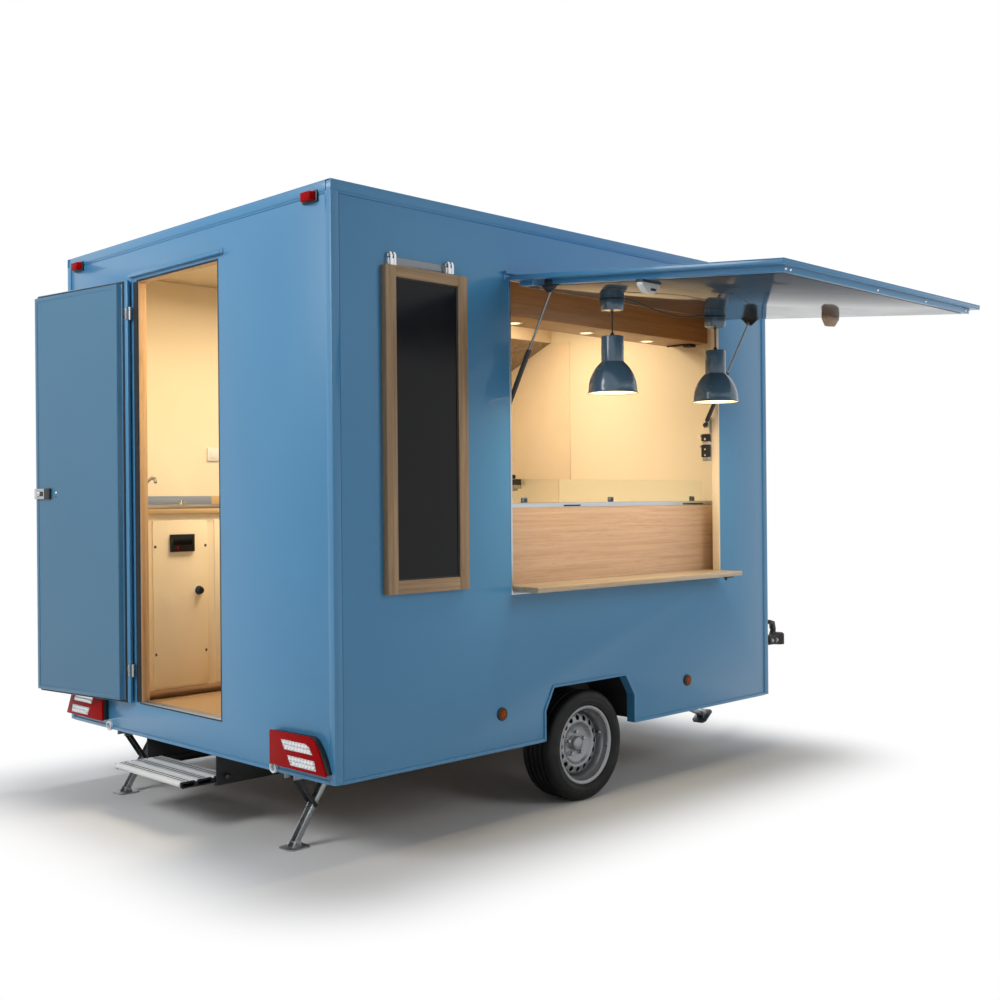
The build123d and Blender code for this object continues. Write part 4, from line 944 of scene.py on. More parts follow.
# Road wheels: grooved tyre, pressed rim with a ring of rimmed holes, bolts, a dome cap and a valve
wheel = {
    "x": 1512, "z": 262, "inset": 122.5, "steps": 96, "tread": 262, "grooves": (44, 15, -15, -44),
    "groove": (5, 7, 2), "patch": (108, 140), "holes": 16, "holeRing": 124,
    "holeSteps": ((15.4, 0), (13.8, -0.6), (12.8, -2), (12.5, -6)),
    "boltRing": 56, "bolts": 5, "boltOut": 14, "valve": (143, 15, 22),
    "tyreSide": (
        (166, 78), (178, 80), (184, 80), (187, 86), (193, 91.5), (198, 92), (201, 94.5), (214, 97.5),
        (222, 97), (224, 95.6), (226, 96.8), (237, 96), (246, 93), (252, 89), (257, 83.5), (260.5, 76),
        (262, 68),
    ),
    "disc": (
        (154, 4), (151, 9), (147, 19), (140, 28), (130, 33.5), (118, 37), (108, 38.5), (101, 37.5), (97, 33),
        (92, 25.5), (86, 20.5), (78, 17), (66, 14.6), (58, 14), (37, 14),
    ),
    "barrel": (
        (153, 5), (155, 12), (156, 30), (157, 44), (161, 51), (164, 57), (164.5, 70), (166, 76), (169, 81.5),
        (174, 85), (179, 86.8), (184.5, 86), (186, 83.5), (184.5, 80.6), (176, 80.4), (167, 78), (165, 70),
        (163, 0), (163, -70), (168, -79), (184, -81), (184, -86), (178, -86), (158, -72), (153, 5),
    ),
    "drumFace": ((60, -12), (146, -12), (146, -8), (60, -8), (60, -12)),
    "cap": ((0, 14), (36, 14), (36, 18), (33.5, 19), (33.5, 35), (31, 40), (25, 43.5), (14, 45.5), (0, 46)),
    "stem": ((0, 0), (7, 0), (7, 3), (4.5, 6), (3.8, 24), (0, 24)),
    "stemCap": ((0, 24), (4.4, 24), (4.4, 34), (3, 36), (0, 36)),
    "boltWasher": ((0, 0), (13, 0), (13, 3), (10.5, 4), (0, 4)),
    "boltHead": ((0, 4), (10.5, 4), (9.8, 15), (8, 17.5), (0, 18)),
}


# how far out the disc stands at a radius
def discOut(radius):
    for (r0, out0), (r1, out1) in zip(wheel["disc"], wheel["disc"][1:]):
        if r1 <= radius <= r0:
            return out0 + (out1 - out0) * (r0 - radius) / (r0 - r1)
    return wheel["disc"][-1][1]


# the closed section of a tyre: a sidewall, the grooved tread and the other sidewall
def tyreSection():
    halfGroove, grooveDepth, slope = wheel["groove"]
    halfTop = halfGroove + slope
    walls = ((halfTop, 0), (halfGroove, grooveDepth), (-halfGroove, grooveDepth), (-halfTop, 0))
    section = list(wheel["tyreSide"])
    for groove in wheel["grooves"]:
        section += [(wheel["tread"] - depth, groove + out) for out, depth in walls]
    section += [(radius, -out) for radius, out in reversed(wheel["tyreSide"])]
    return section + section[:1]


# the holed ring of a rim, as a square patch round each hole with a turned-in lip
def addHoledRing(bm, onWheel):
    low, high = wheel["patch"]
    halfPatch = (high - low) / 2
    halfTurn = math.pi / wheel["holes"]
    share = [step / 3 - 1 for step in range(6)]
    square = [(a, -1) for a in share] + [(1, a) for a in share]
    square += [(-a, -b) for a, b in square]
    for hole in range(wheel["holes"]):
        middle = 2 * halfTurn * hole
        places = [[((low + high) / 2 + b * halfPatch, a * halfTurn, 0) for a, b in square]]
        for size, drop in wheel["holeSteps"]:
            turns = [math.atan2(b * halfPatch, a * halfTurn * wheel["holeRing"]) for a, b in square]
            places.append([
                (wheel["holeRing"] + size * math.sin(turn), size * math.cos(turn) / wheel["holeRing"], drop)
                for turn in turns
            ])
        loops = []
        for loop in places:
            points = [onWheel(radius, middle + turn, discOut(radius) + drop) for radius, turn, drop in loop]
            loops.append([bm.verts.new(point) for point in points])
        for outer, inner in zip(loops, loops[1:]):
            for index in range(len(square)):
                after = (index + 1) % len(square)
                bm.faces.new((outer[index], outer[after], inner[after], inner[index]))


for name, outward, y in (
    ("right", towardsRight, wheel["inset"]), ("left", -towardsRight, bodyWidth - wheel["inset"])
):
    body = "wheel_" + name
    hub = at(wheel["x"], y, wheel["z"])

    def onWheel(radius, turn, out):
        return hub + (Vector((math.cos(turn), 0, math.sin(turn))) * radius + outward * out) * mm

    addTurnedPiece(
        "tyre_tread_" + name, tyreSection(), [hub], outward, wheel["steps"], tyreRubber, body,
        smooth=28, slot="tyre_rubber", replaced=("tyre_" + name,),
    )
    patchLow, patchHigh = wheel["patch"]
    bm = bmesh.new()
    addTurned(bm, wheel["barrel"], hub, outward, wheel["steps"])
    addTurned(bm, [pair for pair in wheel["disc"] if pair[0] >= patchHigh], hub, outward, wheel["steps"])
    addTurned(bm, [pair for pair in wheel["disc"] if pair[0] <= patchLow], hub, outward, wheel["steps"])
    addHoledRing(bm, onWheel)
    addPiece(
        "rim_pressing_" + name, bm, rimSilver, body, smooth=50, slot="rim_silver", replaced=("rim_" + name,)
    )
    bm = bmesh.new()
    for bolt in range(wheel["bolts"]):
        seat = onWheel(wheel["boltRing"], math.tau * (bolt + 0.25) / wheel["bolts"], wheel["boltOut"])
        addTurned(bm, wheel["boltWasher"], seat, outward, 24)
        addTurned(bm, wheel["boltHead"], seat, outward, 6)
    addPiece("wheel_bolts_" + name, bm, zincPlated, body, slot="zinc")
    radius, degrees, out = wheel["valve"]
    root = onWheel(radius, math.radians(degrees), out)
    turnedTable = (
        # name, profile, place, steps, finish, slot
        ("drum_face_", wheel["drumFace"], hub, 48, blackSteel, "drum_iron"),
        ("hub_cap_", wheel["cap"], hub, 40, rimSilver, "rim_silver"),
        ("valve_stem_", wheel["stem"], root, 16, sealRubber, "black_plastic"),
        ("valve_cap_", wheel["stemCap"], root, 12, chrome, "chrome_rod"),
    )
    for piece, profile, place, steps, material, slot in turnedTable:
        addTurnedPiece(piece + name, profile, [place], outward, steps, material, body, slot=slot)
print("wheels added")


# a flat section along a bar, given across the trailer and square to the bar
def addSection(bm, start, end, points):
    along = (end - start).normalized()
    lift = along.cross(axisVectors["y"])
    addPrism(bm, [start + (axisVectors["y"] * a + lift * b) * mm for a, b in points], end - start)


# Corner steadies: an open channel leg, two strut bars, pins with washers and an eared foot plate
steady = {
    "y": 394, "inset": 85, "z": 305, "strut": 170, "down": 57, "frontDown": 20.7, "wall": 3,
    "leg": (18, 12), "bars": (20, 26), "barDepth": 8, "foot": (55, 48), "footTip": 16, "footThick": 5,
    "footLift": 0.5, "earOut": 18.5, "earThick": 4, "pinOut": (25, 19), "anklePin": (5, 23), "pivotPin": 9,
}
halfLeg, legDepth = steady["leg"]
wall = steady["wall"]
innerLeg, floorLeg = halfLeg - wall, wall - legDepth
channel = (
    (-halfLeg, -legDepth), (halfLeg, -legDepth), (halfLeg, legDepth), (innerLeg, legDepth),
    (innerLeg, floorLeg), (-innerLeg, floorLeg), (-innerLeg, legDepth), (-halfLeg, legDepth),
)
footX, footY = steady["foot"]
tipX, tipY = footX - steady["footTip"], footY - steady["footTip"]
footPlate = (
    (-tipX, -footY), (tipX, -footY), (footX, -tipY), (footX, tipY),
    (tipX, footY), (-tipX, footY), (-footX, tipY), (-footX, -tipY),
)
footDrop = steady["footLift"] - steady["z"] + 2 * steady["strut"] * math.sin(math.radians(steady["down"]))
ear = ((-24, footDrop + 4), (24, footDrop + 4), (12, 8), (5, 13), (-5, 13), (-12, 8))
farY = bodyWidth - steady["y"]
frontX = bodyLength - steady["inset"]
steadyTable = (
    # name, pivot x, way the leg leans, y, angle below level
    ("rear_right", steady["inset"], 1, steady["y"], steady["down"]),
    ("rear_left", steady["inset"], 1, farY, steady["down"]),
    ("front_right", frontX, -1, steady["y"], steady["frontDown"]),
    ("front_left", frontX, -1, farY, steady["frontDown"]),
)
for name, pivotX, lean, y, degrees in steadyTable:
    legBody, strutBody = "steady_leg_" + name, "steady_strut_" + name
    angle = math.radians(degrees)
    raised = math.radians(steady["down"] - degrees)
    pivot = at(pivotX, y, steady["z"])
    strut = Vector((lean * math.cos(angle), 0, -math.sin(angle))) * steady["strut"] * mm
    middle = pivot + strut
    ankle = Vector((pivot.x, pivot.y, pivot.z + 2 * strut.z))
    head = middle * 2 - ankle

    bm = bmesh.new()
    over = (head - ankle).normalized() * legDepth * mm
    start, end = (ankle - over, head + over) if lean > 0 else (head + over, ankle - over)
    addSection(bm, start, end, channel)
    addPiece("leg_channel_" + name, bm, zincPlated, legBody, bevel=0.8, slot="zinc", replaced=(legBody,))

    bm = bmesh.new()
    sole = [Vector((dx, dy, footDrop)) * mm for dx, dy in footPlate]
    addPrism(bm, sole, -downwards * steady["footThick"] * mm)
    for outward in (towardsRight, -towardsRight):
        shape = [(Vector((dx, 0, dz)) + outward * steady["earOut"]) * mm for dx, dz in ear]
        addPrism(bm, shape, outward * steady["earThick"] * mm)
    bmesh.ops.rotate(bm, cent=(0, 0, 0), matrix=Matrix.Rotation(lean * raised, 3, "Y"), verts=bm.verts)
    bmesh.ops.translate(bm, vec=ankle, verts=bm.verts)
    addPiece("foot_plate_" + name, bm, galvanised, legBody, bevel=1.2, slot="zinc")

    bm = bmesh.new()
    for place, far in zip((ankle, middle), steady["pinOut"]):
        washer = ((0, far + 4), (6, far + 4), (7, far + 3), (7, far), (0, far))
        for outward in (towardsRight, -towardsRight):
            addTurned(bm, washer, place, outward, 20)
    pinRadius, pinReach = steady["anklePin"]
    addRod(bm, ankle + towardsRight * pinReach * mm, ankle - towardsRight * pinReach * mm, pinRadius)
    addPiece("leg_pins_" + name, bm, zincPlated, legBody, slot="zinc")

    bm = bmesh.new()
    nearBar, farBar = steady["bars"]
    depth = steady["barDepth"]
    start, end = (pivot, middle) if lean > 0 else (middle, pivot)
    over = (end - start).normalized() * depth * mm
    for side in (-1, 1):
        bar = ((nearBar, -depth), (farBar, -depth), (farBar, depth), (nearBar, depth))
        addSection(bm, start - over, end + over, [(side * a, b) for a, b in bar])
    addRod(bm, pivot + towardsRight * farBar * mm, pivot - towardsRight * farBar * mm, steady["pivotPin"])
    addPiece("strut_bars_" + name, bm, blackSteel, strutBody, bevel=1, slot="zinc", replaced=(strutBody,))
print("steadies added")

# Menu board: oak stiles and rails round a bare black board, hung by chromed hooks on a steel rail
board = {
    "low": (246, 1053), "high": (694, 2376), "stile": 54, "bottom": 55, "top": 46, "out": -33,
    "railOut": -32.4, "bead": 6, "beadY": (-28, -22), "boardY": (-24, -4), "rebate": 4,
}
(boardX0, boardZ0), (boardX1, boardZ1) = board["low"], board["high"]
openX0, openX1 = boardX0 + board["stile"], boardX1 - board["stile"]
openZ0, openZ1 = boardZ0 + board["bottom"], boardZ1 - board["top"]
stiles = (
    ((boardX0, board["out"], boardZ0), (openX0, 0, boardZ1)),
    ((openX1, board["out"], boardZ0), (boardX1, 0, boardZ1)),
)
addBoxPiece("board_stiles", stiles, oakUpright, bevel=2.2, slot="oak", replaced=("menu_board_frame",))
rails = (
    ((openX0, board["railOut"], boardZ0), (openX1, 0, openZ0)),
    ((openX0, board["railOut"], openZ1), (openX1, 0, boardZ1)),
)
addBoxPiece("board_rails", rails, oakLevel, bevel=1.6, slot="oak")
# A black ring between the frame and the board is painted shadow of the gap round the board
bm = bmesh.new()
addRing(bm, "y", (openX0, openZ0), (openX1, openZ1), board["bead"], *board["beadY"])
addPiece("board_bead", bm, blackPlastic, bevel=1.5, slot="black_plastic")
rebate = board["rebate"]
sheetY0, sheetY1 = board["boardY"]
sheet = ((openX0 - rebate, sheetY0, openZ0 - rebate), (openX1 + rebate, sheetY1, openZ1 + rebate))
addBoxPiece("board_face", [sheet], slateBoard, slot="slate_board", replaced=("menu_board_slate",))
hook = {
    "x": (282, 302, 598, 618), "width": 11, "pad": ((-9, -10, 2376), (9, 0, 2408)),
    "rail": ((312, -9, 2380), (592, 0, 2414)),
    "bend": (
        (-26, 2372), (-26, 2418), (-20, 2430), (-10, 2433), (-2, 2427), (-2, 2414),
        (-5, 2414), (-6, 2424), (-11, 2429), (-18, 2427), (-22, 2417), (-22, 2372),
    ),
}
bm = bmesh.new()
for x in hook["x"]:
    addProfile(bm, "x", hook["bend"], x - hook["width"] / 2, x + hook["width"] / 2)
    low, high = ((x + dx, y, z) for dx, y, z in hook["pad"])
    addBox(bm, low, high)
addPiece("board_hooks", bm, chrome, bevel=1.2, slot="chrome_rod")
addBoxPiece("board_hanging_rail", [hook["rail"]], rodSteel, bevel=1.5, slot="zinc")

# Wheel arch returns: the folded edge that covers the panel's core
bm = bmesh.new()
returnDepth, flangeOut = arch["returnDepth"], arch["proud"]
for y0, y1 in ((-flangeOut, returnDepth), (bodyWidth - returnDepth, bodyWidth + flangeOut)):
    for start, end in zip(arch["outline"], arch["outline"][1:]):
        covered = [start, end] + besidePath((end, start), arch["returnSkin"])
        addProfile(bm, "y", covered, y0, y1)
addPiece("arch_returns", bm, gelcoatBlue, slot="painted_panel")
print("side fittings added")

# Hatch opening: bright edge strips outside and jamb liners inside
hatch = {
    "low": (985, 1016), "high": (2565, 2410), "edge": 7, "proud": 2, "liner": 3, "deep": 62, "jambDeep": 40,
    "jambGap": 10,
}
(hatchX0, hatchZ0), (hatchX1, hatchZ1) = hatch["low"], hatch["high"]
stripY, stripZ = -hatch["proud"], hatchZ0 - hatch["edge"]
linedX0, linedX1 = hatchX0 + hatch["liner"], hatchX1 - hatch["liner"]
jambDeep, jambTop = hatch["jambDeep"], hatchZ1 - hatch["jambGap"]
edgeStrips = (
    ((hatchX0 - hatch["edge"], stripY, stripZ), (linedX0, jambDeep, jambTop)),
    ((linedX0, stripY, stripZ), (linedX1, 0, hatchZ0)),
    ((linedX0, 0, hatchZ0), (linedX1, hatch["deep"], hatchZ0 + hatch["liner"])),
)
addBoxPiece("hatch_edge_strips", edgeStrips, drawnAluminium, bevel=0.6, slot="worktop_aluminium")
jambCovers = (
    ((linedX1, stripY, stripZ), (hatchX1 + hatch["edge"], jambDeep, jambTop)),
    ((hatchX0, 0, hatchZ1 - hatch["liner"]), (hatchX1, jambDeep, hatchZ1)),
)
addBoxPiece("hatch_jamb_cover", jambCovers, jambCream, bevel=0.8, slot="cream_laminate")
addSoftCopy("flap", 2.5, gelcoatBlue)
addSoftCopy("flap_rail", 1, gelcoatBlue)

# Flap: drawn level from its hinge and turned down about it
hung = {
    "hinge": (-15, 2405), "slope": 5.06, "x": (955, 2600), "length": 1400, "skin": (-8, 10), "frameLow": -30,
    "leafX": (1034, 2511), "leafY": (-1352, -52), "leaf": 2, "band": 34, "bandBack": -40, "bandRise": 2,
    "screwX": (1012, 1045, 1700, 2120, 2510, 2543), "screwY": -1375.2, "screwZ": -19,
}
hingeY, hingeZ = hung["hinge"]


def onFlap(x, y, z):
    return x, y + hingeY, z + hingeZ


def addHungPiece(name, bm, material, bevel=0, slot=None, replaced=()):
    turn = Matrix.Rotation(math.radians(hung["slope"]), 3, "X")
    bmesh.ops.rotate(bm, cent=at(*onFlap(0, 0, 0)), matrix=turn, verts=bm.verts)
    addPiece(name, bm, material, "flap", bevel=bevel, slot=slot, replaced=replaced)


def addHungBox(bm, low, high):
    addBox(bm, onFlap(*low), onFlap(*high))


(leafX0, leafX1), (leafY0, leafY1) = hung["leafX"], hung["leafY"]
frameLow = hung["frameLow"]
bm = bmesh.new()
addHungBox(bm, (leafX0, leafY0, frameLow - hung["leaf"]), (leafX1, leafY1, frameLow))
addHungPiece("flap_lining", bm, greyLeafReflection, 0.5, "painted_panel")
skinLow, skinTop = hung["skin"]
flapX0, flapX1 = hung["x"]
flapY0 = -hung["length"]
bandY, bandTop = flapY0 + hung["band"], skinTop + hung["bandRise"]
rimBands = (
    ((flapX0, flapY0, skinTop), (flapX1, bandY, bandTop)),
    ((flapX0, bandY, skinTop), (flapX0 + hung["band"], hung["bandBack"], bandTop)),
    ((flapX1 - hung["band"], bandY, skinTop), (flapX1, hung["bandBack"], bandTop)),
    ((flapX0 + 4, flapY0 - 1.5, skinLow + 5), (flapX1 - 4, flapY0, skinLow + 7.5)),
)
bm = bmesh.new()
for low, high in rimBands:
    addHungBox(bm, low, high)
addHungPiece("flap_rim_bands", bm, gelcoatBlue, 0.7, "painted_panel")
bm = bmesh.new()
for x in hung["screwX"]:
    seat = at(*onFlap(x, hung["screwY"], hung["screwZ"]))
    addTurned(bm, [(0, 3), (3.5, 2.6), (6, 0), (0, 0)], seat, towardsRight, 14)
addHungPiece("flap_screws", bm, chrome, slot="chrome_rod")

# Strut plates on the flap: black pressings that reach down to each rod eye
strutPlate = {
    "x": (1004.5, 2540.5), "half": 3, "eye": (-210.4, -51.6), "stem": 30, "wide": 46, "narrow": 12,
    "foot": 13, "footThick": 4, "pin": ((0, -9), (6, -9), (6, 9), (0, 9)),
}
eyeY, eyeZ = strutPlate["eye"]
wide, plateLow = strutPlate["wide"], frameLow - strutPlate["footThick"]
halfFlag = (
    (strutPlate["stem"], skinLow), (strutPlate["stem"], frameLow), (wide, frameLow), (wide, plateLow),
    (strutPlate["narrow"], eyeZ - 12),
)
flag = [(eyeY + out, z) for out, z in halfFlag] + [(eyeY - out, z) for out, z in reversed(halfFlag)]
bm = bmesh.new()
for x in strutPlate["x"]:
    shape = [(y + hingeY, z + hingeZ) for y, z in flag]
    addProfile(bm, "x", shape, x - strutPlate["half"], x + strutPlate["half"])
    addTurned(bm, strutPlate["pin"], at(*onFlap(x, eyeY, eyeZ)), "x", 16)
    addHungBox(
        bm, (x - strutPlate["foot"], eyeY - wide, plateLow), (x + strutPlate["foot"], eyeY + wide, frameLow)
    )
addHungPiece("flap_strut_plates", bm, blackSteel, 1.2, "black_steel", ("flap_fittings",))

# Pull blocks: oak at the front, a white moulding with a black bar at the rear
pull = {"rear": 1060, "front": 2490, "y": (-722, -690), "half": (58, 22), "drop": (14, 50), "barDrop": 8}
pullY0, pullY1 = pull["y"]


def addPullBlock(name, x, top, material, bevel):
    wideHalf, narrowHalf = pull["half"]
    shoulder, low = pull["drop"]
    half = ((wideHalf, top), (wideHalf, shoulder + top), (narrowHalf, low))
    shape = [(x - out, hingeZ + frameLow - drop) for out, drop in half]
    shape += [(x + out, hingeZ + frameLow - drop) for out, drop in reversed(half)]
    bm = bmesh.new()
    addProfile(bm, "y", shape, hingeY + pullY0, hingeY + pullY1)
    addHungPiece(name, bm, material, bevel, "oak")


addPullBlock("pull_block_oak", pull["front"], 0, oakAlong, 2.5)
addPullBlock("pull_block_white", pull["rear"], pull["barDrop"], whiteNylon, 3)
bm = bmesh.new()
pullX = pull["rear"]
addHungBox(bm, (pullX - 62, pullY0 - 2, frameLow - 10), (pullX + 62, pullY1 + 2, frameLow))
addHungBox(bm, (pullX - 4, pullY0 - 1.5, frameLow - 40), (pullX + 30, pullY0 + 2, frameLow - 30))
addHungPiece("pull_block_bar", bm, blackPlastic, 1.5, "black_plastic")
print("hatch and flap dressed")


# an arc through three points, as a list without its first point
def arcThrough(start, middle, end, steps):
    (ax, ay), (bx, by), (cx, cy) = start, middle, end
    a, b, c = (x ** 2 + y ** 2 for x, y in (start, middle, end))
    double = 2 * (ax * (by - cy) + bx * (cy - ay) + cx * (ay - by))
    ux = (a * (by - cy) + b * (cy - ay) + c * (ay - by)) / double
    uy = (a * (cx - bx) + b * (ax - cx) + c * (bx - ax)) / double
    radius = math.hypot(ax - ux, ay - uy)
    first = math.atan2(ay - uy, ax - ux)
    last = math.atan2(cy - uy, cx - ux)
    turns = [first + (last - first) * step / steps for step in range(1, steps + 1)]
    return [(ux + radius * math.cos(turn), uy + radius * math.sin(turn)) for turn in turns]


# Pendant lamps: a two-part canopy with a dark seam, and a bell shade, white inside, over a lit diffuser
bell = {
    "crown": ((0, 2152), (46, 2152), (49, 2150.5), (50, 2147), (50, 2039)), "crownLow": 2140,
    "bulge": (92, 1984), "waist": (108, 1912), "rim": (112, 1900), "shell": 1.6, "lining": 3,
    "rolled": ((113.2, 1900.8), (113.2, 1898.6), (111, 1898.6)),
}
lampTurned = {
    "canopyLower": (
        (0, 2268), (42, 2268), (44, 2266), (48, 2267), (50, 2271), (55, 2309), (54, 2311), (0, 2311),
    ),
    "canopyUpper": ((0, 2316), (53.5, 2316), (55, 2318), (53, 2358), (0, 2358)),
    "seam": ((0, 2310), (56.5, 2310), (57, 2312), (57, 2315), (56.5, 2317), (0, 2317)),
    "glandLow": ((0, 2152), (9, 2152), (9, 2160), (6, 2168), (0, 2168)),
    "glandHigh": ((0, 2254), (6, 2254), (8, 2266), (0, 2268)),
    "glow": ((0, 1903), (70, 1904), (104, 1908), (104, 1912), (0, 1912)),
}
bellCurve = arcThrough(bell["crown"][-1], bell["bulge"], bell["waist"], 12)
bellSide = list(bell["crown"]) + bellCurve + [bell["rim"]]


# the bell's side moved in by a thickness, and its crown moved down
def insideBell(thickness):
    return [
        (max(radius - thickness, 0), z - thickness if z > bell["crownLow"] else z) for radius, z in bellSide
    ]


shellInside, liningInside = insideBell(bell["shell"]), insideBell(bell["lining"])
lampTurned["shade"] = bellSide + list(bell["rolled"]) + shellInside[::-1]
lampTurned["lining"] = liningInside[::-1] + shellInside
lampTable = (
    # name, profiles, steps, finish, slot
    ("canopies", ("canopyLower", "canopyUpper"), 48, lampEnamel, "lamp_enamel"),
    ("canopy_seams", ("seam",), 48, blackPlastic, "black_plastic"),
    ("cord_glands", ("glandLow", "glandHigh"), 20, blackPlastic, "black_plastic"),
    ("shades", ("shade",), 64, lampEnamel, "lamp_enamel"),
    ("shade_linings", ("lining",), 64, whiteEnamel, "lamp_enamel"),
    ("lamp_diffusers", ("glow",), 48, warmGlow, "clear_glass"),
)
lampPieces = {}
for name, profiles, steps, material, slot in lampTable:
    bm = bmesh.new()
    for x in pendant["x"]:
        for profile in profiles:
            addTurned(bm, lampTurned[profile], at(x, pendant["y"], 0), "z", steps)
    replaced = ("pendant_lamps",) if name == "canopies" else ()
    lampPieces[name] = addPiece(name, bm, material, "flap", slot=slot, replaced=replaced)

# Serving shelf: a piano hinge along its back edge and a catch under its front end
shelfHinge = {
    "low": (1000, 76, 1046), "high": (2550, 92, 1047), "pitch": 62, "screwY": 82,
    "catchX": 2440, "catchY": -120, "catchZ": 1001,
}
shelfX0, shelfX1, leafTop = shelfHinge["low"][0], shelfHinge["high"][0], shelfHinge["high"][2]
bm = bmesh.new()
addBox(bm, shelfHinge["low"], shelfHinge["high"])
for index in range(int((shelfX1 - shelfX0) / shelfHinge["pitch"])):
    x = shelfX0 + (index + 0.5) * shelfHinge["pitch"]
    addTurned(bm, [(0, 1.4), (3, 1.2), (4.5, 0), (0, 0)], at(x, shelfHinge["screwY"], leafTop), "z", 12)
addPiece("shelf_piano_hinge", bm, stainless, "shelf", slot="zinc")
bm = bmesh.new()
catchX, catchY, catchZ = shelfHinge["catchX"], shelfHinge["catchY"], shelfHinge["catchZ"]
addBox(bm, (catchX, catchY - 8, catchZ + 11), (catchX + 70, catchY + 8, catchZ + 20))
addTurned(bm, [(0, 0), (7, 0), (7, 14), (0, 14)], at(catchX + 12, catchY, catchZ), "z", 16)
addPiece("shelf_catch", bm, blackPlastic, "shelf", bevel=1.5, slot="black_plastic")
print("pendants and shelf dressed")

# Pelmet: a row of lit downlights in its underside, and a small switch box with its lead clip
downlight = {
    "x": (440, 992, 1545, 2098, 2622), "y": 520, "z": 2322,
    "ring": ((30, 0), (30, 3), (40, 3), (43, 1), (43, 0), (30, 0)),
    "face": ((0, 2), (30, 2), (30, 0), (0, 0)),
}
spots = [at(x, downlight["y"], downlight["z"]) for x in downlight["x"]]
addTurnedPiece("downlight_rings", downlight["ring"], spots, downwards, 36, whiteEnamel, slot="lamp_enamel")
addTurnedPiece("downlight_faces", downlight["face"], spots, downwards, 36, spotGlow, slot="clear_glass")
switchBox = (
    ((2895, 418, 2304), (2950, 470, 2322)),
    ((2880, 470, 2313), (2892, 575, 2322)),
    ((2886, 455, 2313), (2900, 475, 2322)),
)
addBoxPiece("pelmet_switch_box", switchBox, blackPlastic, bevel=2, slot="black_plastic")

# Front wall panel and extractor front, both a little darker than the wall; the panel's darker cream is
# painted shade below the hood
wallShadePanel = ((2976, 1424, 1421), (2982, 2160, 2440))
addBoxPiece("front_wall_lining", [wallShadePanel], jambCream, bevel=1, slot="cream_laminate")
hoodFront = {
    "board": ((1898, 1583, 2443), (2982, 1588, 2634)), "edgeX": (1894, 1900),
    "edge": ((1588, 2441), (2159, 2188), (2159, 2206), (1588, 2459)),
}
bm = bmesh.new()
addBox(bm, *hoodFront["board"])
addProfile(bm, "x", hoodFront["edge"], *hoodFront["edgeX"])
addPiece("extractor_front", bm, jambCream, bevel=1, slot="cream_laminate")

# Back counter: a slatted griddle at the front end, a socket on the lining, a tap and a wall switch
griddle = {"x": (2726, 2941), "y": (1620, 1960), "z": (1420, 1478, 1511), "bars": 6, "pitch": 33, "bar": 16}
(griddleX0, griddleX1), (griddleY0, griddleY1) = griddle["x"], griddle["y"]
griddleLow, griddleTop, griddleBack = griddle["z"]
blocks = [
    ((griddleX0, griddleY0, griddleLow), (griddleX1, griddleY1, griddleTop)),
    ((griddleX0, griddleY1 - 20, griddleTop), (griddleX1, griddleY1, griddleBack)),
]
for index in range(griddle["bars"]):
    x = griddleX0 + 14 + index * griddle["pitch"]
    blocks.append(((x, griddleY0 + 6, griddleTop), (x + griddle["bar"], griddleY1 - 24, griddleTop + 10)))
addBoxPiece("griddle", blocks, stainless, bevel=2, slot="zinc")
socket = {"place": (2976, 1925, 1582), "side": ((0, 0), (16, 0), (16, 8), (12, 10), (0, 10))}
bm = bmesh.new()
addTurned(bm, socket["side"], at(*socket["place"]), towardsRear, 24)
addBox(bm, (2735, griddleY0 - 6, 1438), (2930, griddleY0, 1462))
addPiece("socket_and_griddle_slot", bm, blackPlastic, slot="black_plastic")
tap = {
    "route": (
        (284, 2096, 1420), (284, 2096, 1462), (302, 2086, 1486), (337, 2062, 1518), (358, 2056, 1548),
        (376, 2052, 1560), (392, 2050, 1558), (397, 2048, 1540),
    ),
    "radius": 9, "bend": ((0, -10), (7, -7), (10, 0), (7, 7), (0, 10)),
    "base": ((0, 0), (26, 0), (26, 6), (14, 14), (0, 14)), "lever": ((284, 2096, 1450), (262, 2050, 1474)),
    "leverRadius": 5, "plug": ((0, 24), (7, 23), (9, 12), (16, 8), (18, 0), (0, 0)),
    "plugPlace": (560, 2060, 1420),
}
bm = bmesh.new()
route = [at(*place) for place in tap["route"]]
for start, end in zip(route, route[1:]):
    addRod(bm, start, end, tap["radius"], 20)
    addTurned(bm, tap["bend"], end, "z", 20)
addTurned(bm, tap["base"], route[0], "z", 28)
leverStart, leverEnd = (at(*place) for place in tap["lever"])
addRod(bm, leverStart, leverEnd, tap["leverRadius"])
addTurned(bm, tap["plug"], at(*tap["plugPlace"]), "z", 28)
addPiece("sink_tap", bm, chrome, slot="chrome_rod")
wallSwitch = (((776, 2150, 1660), (848, 2160, 1732)), ((796, 2147, 1676), (828, 2150, 1716)))
addBoxPiece("wall_switch", wallSwitch, whiteNylon, bevel=2.5, slot="lamp_enamel")
upstandTable = (
    # name, box, finish, slot
    ("worktop_upstand", ((42, 2154, 1420), (800, 2160, 1466)), splashSteelReflection, "worktop_aluminium"),
    ("worktop_upstand_end", ((800, 2154, 1420), (1880, 2160, 1466)), beigeLaminate, "cream_laminate"),
)
for name, box, material, slot in upstandTable:
    addBoxPiece(name, [box], material, bevel=1.2, slot=slot)

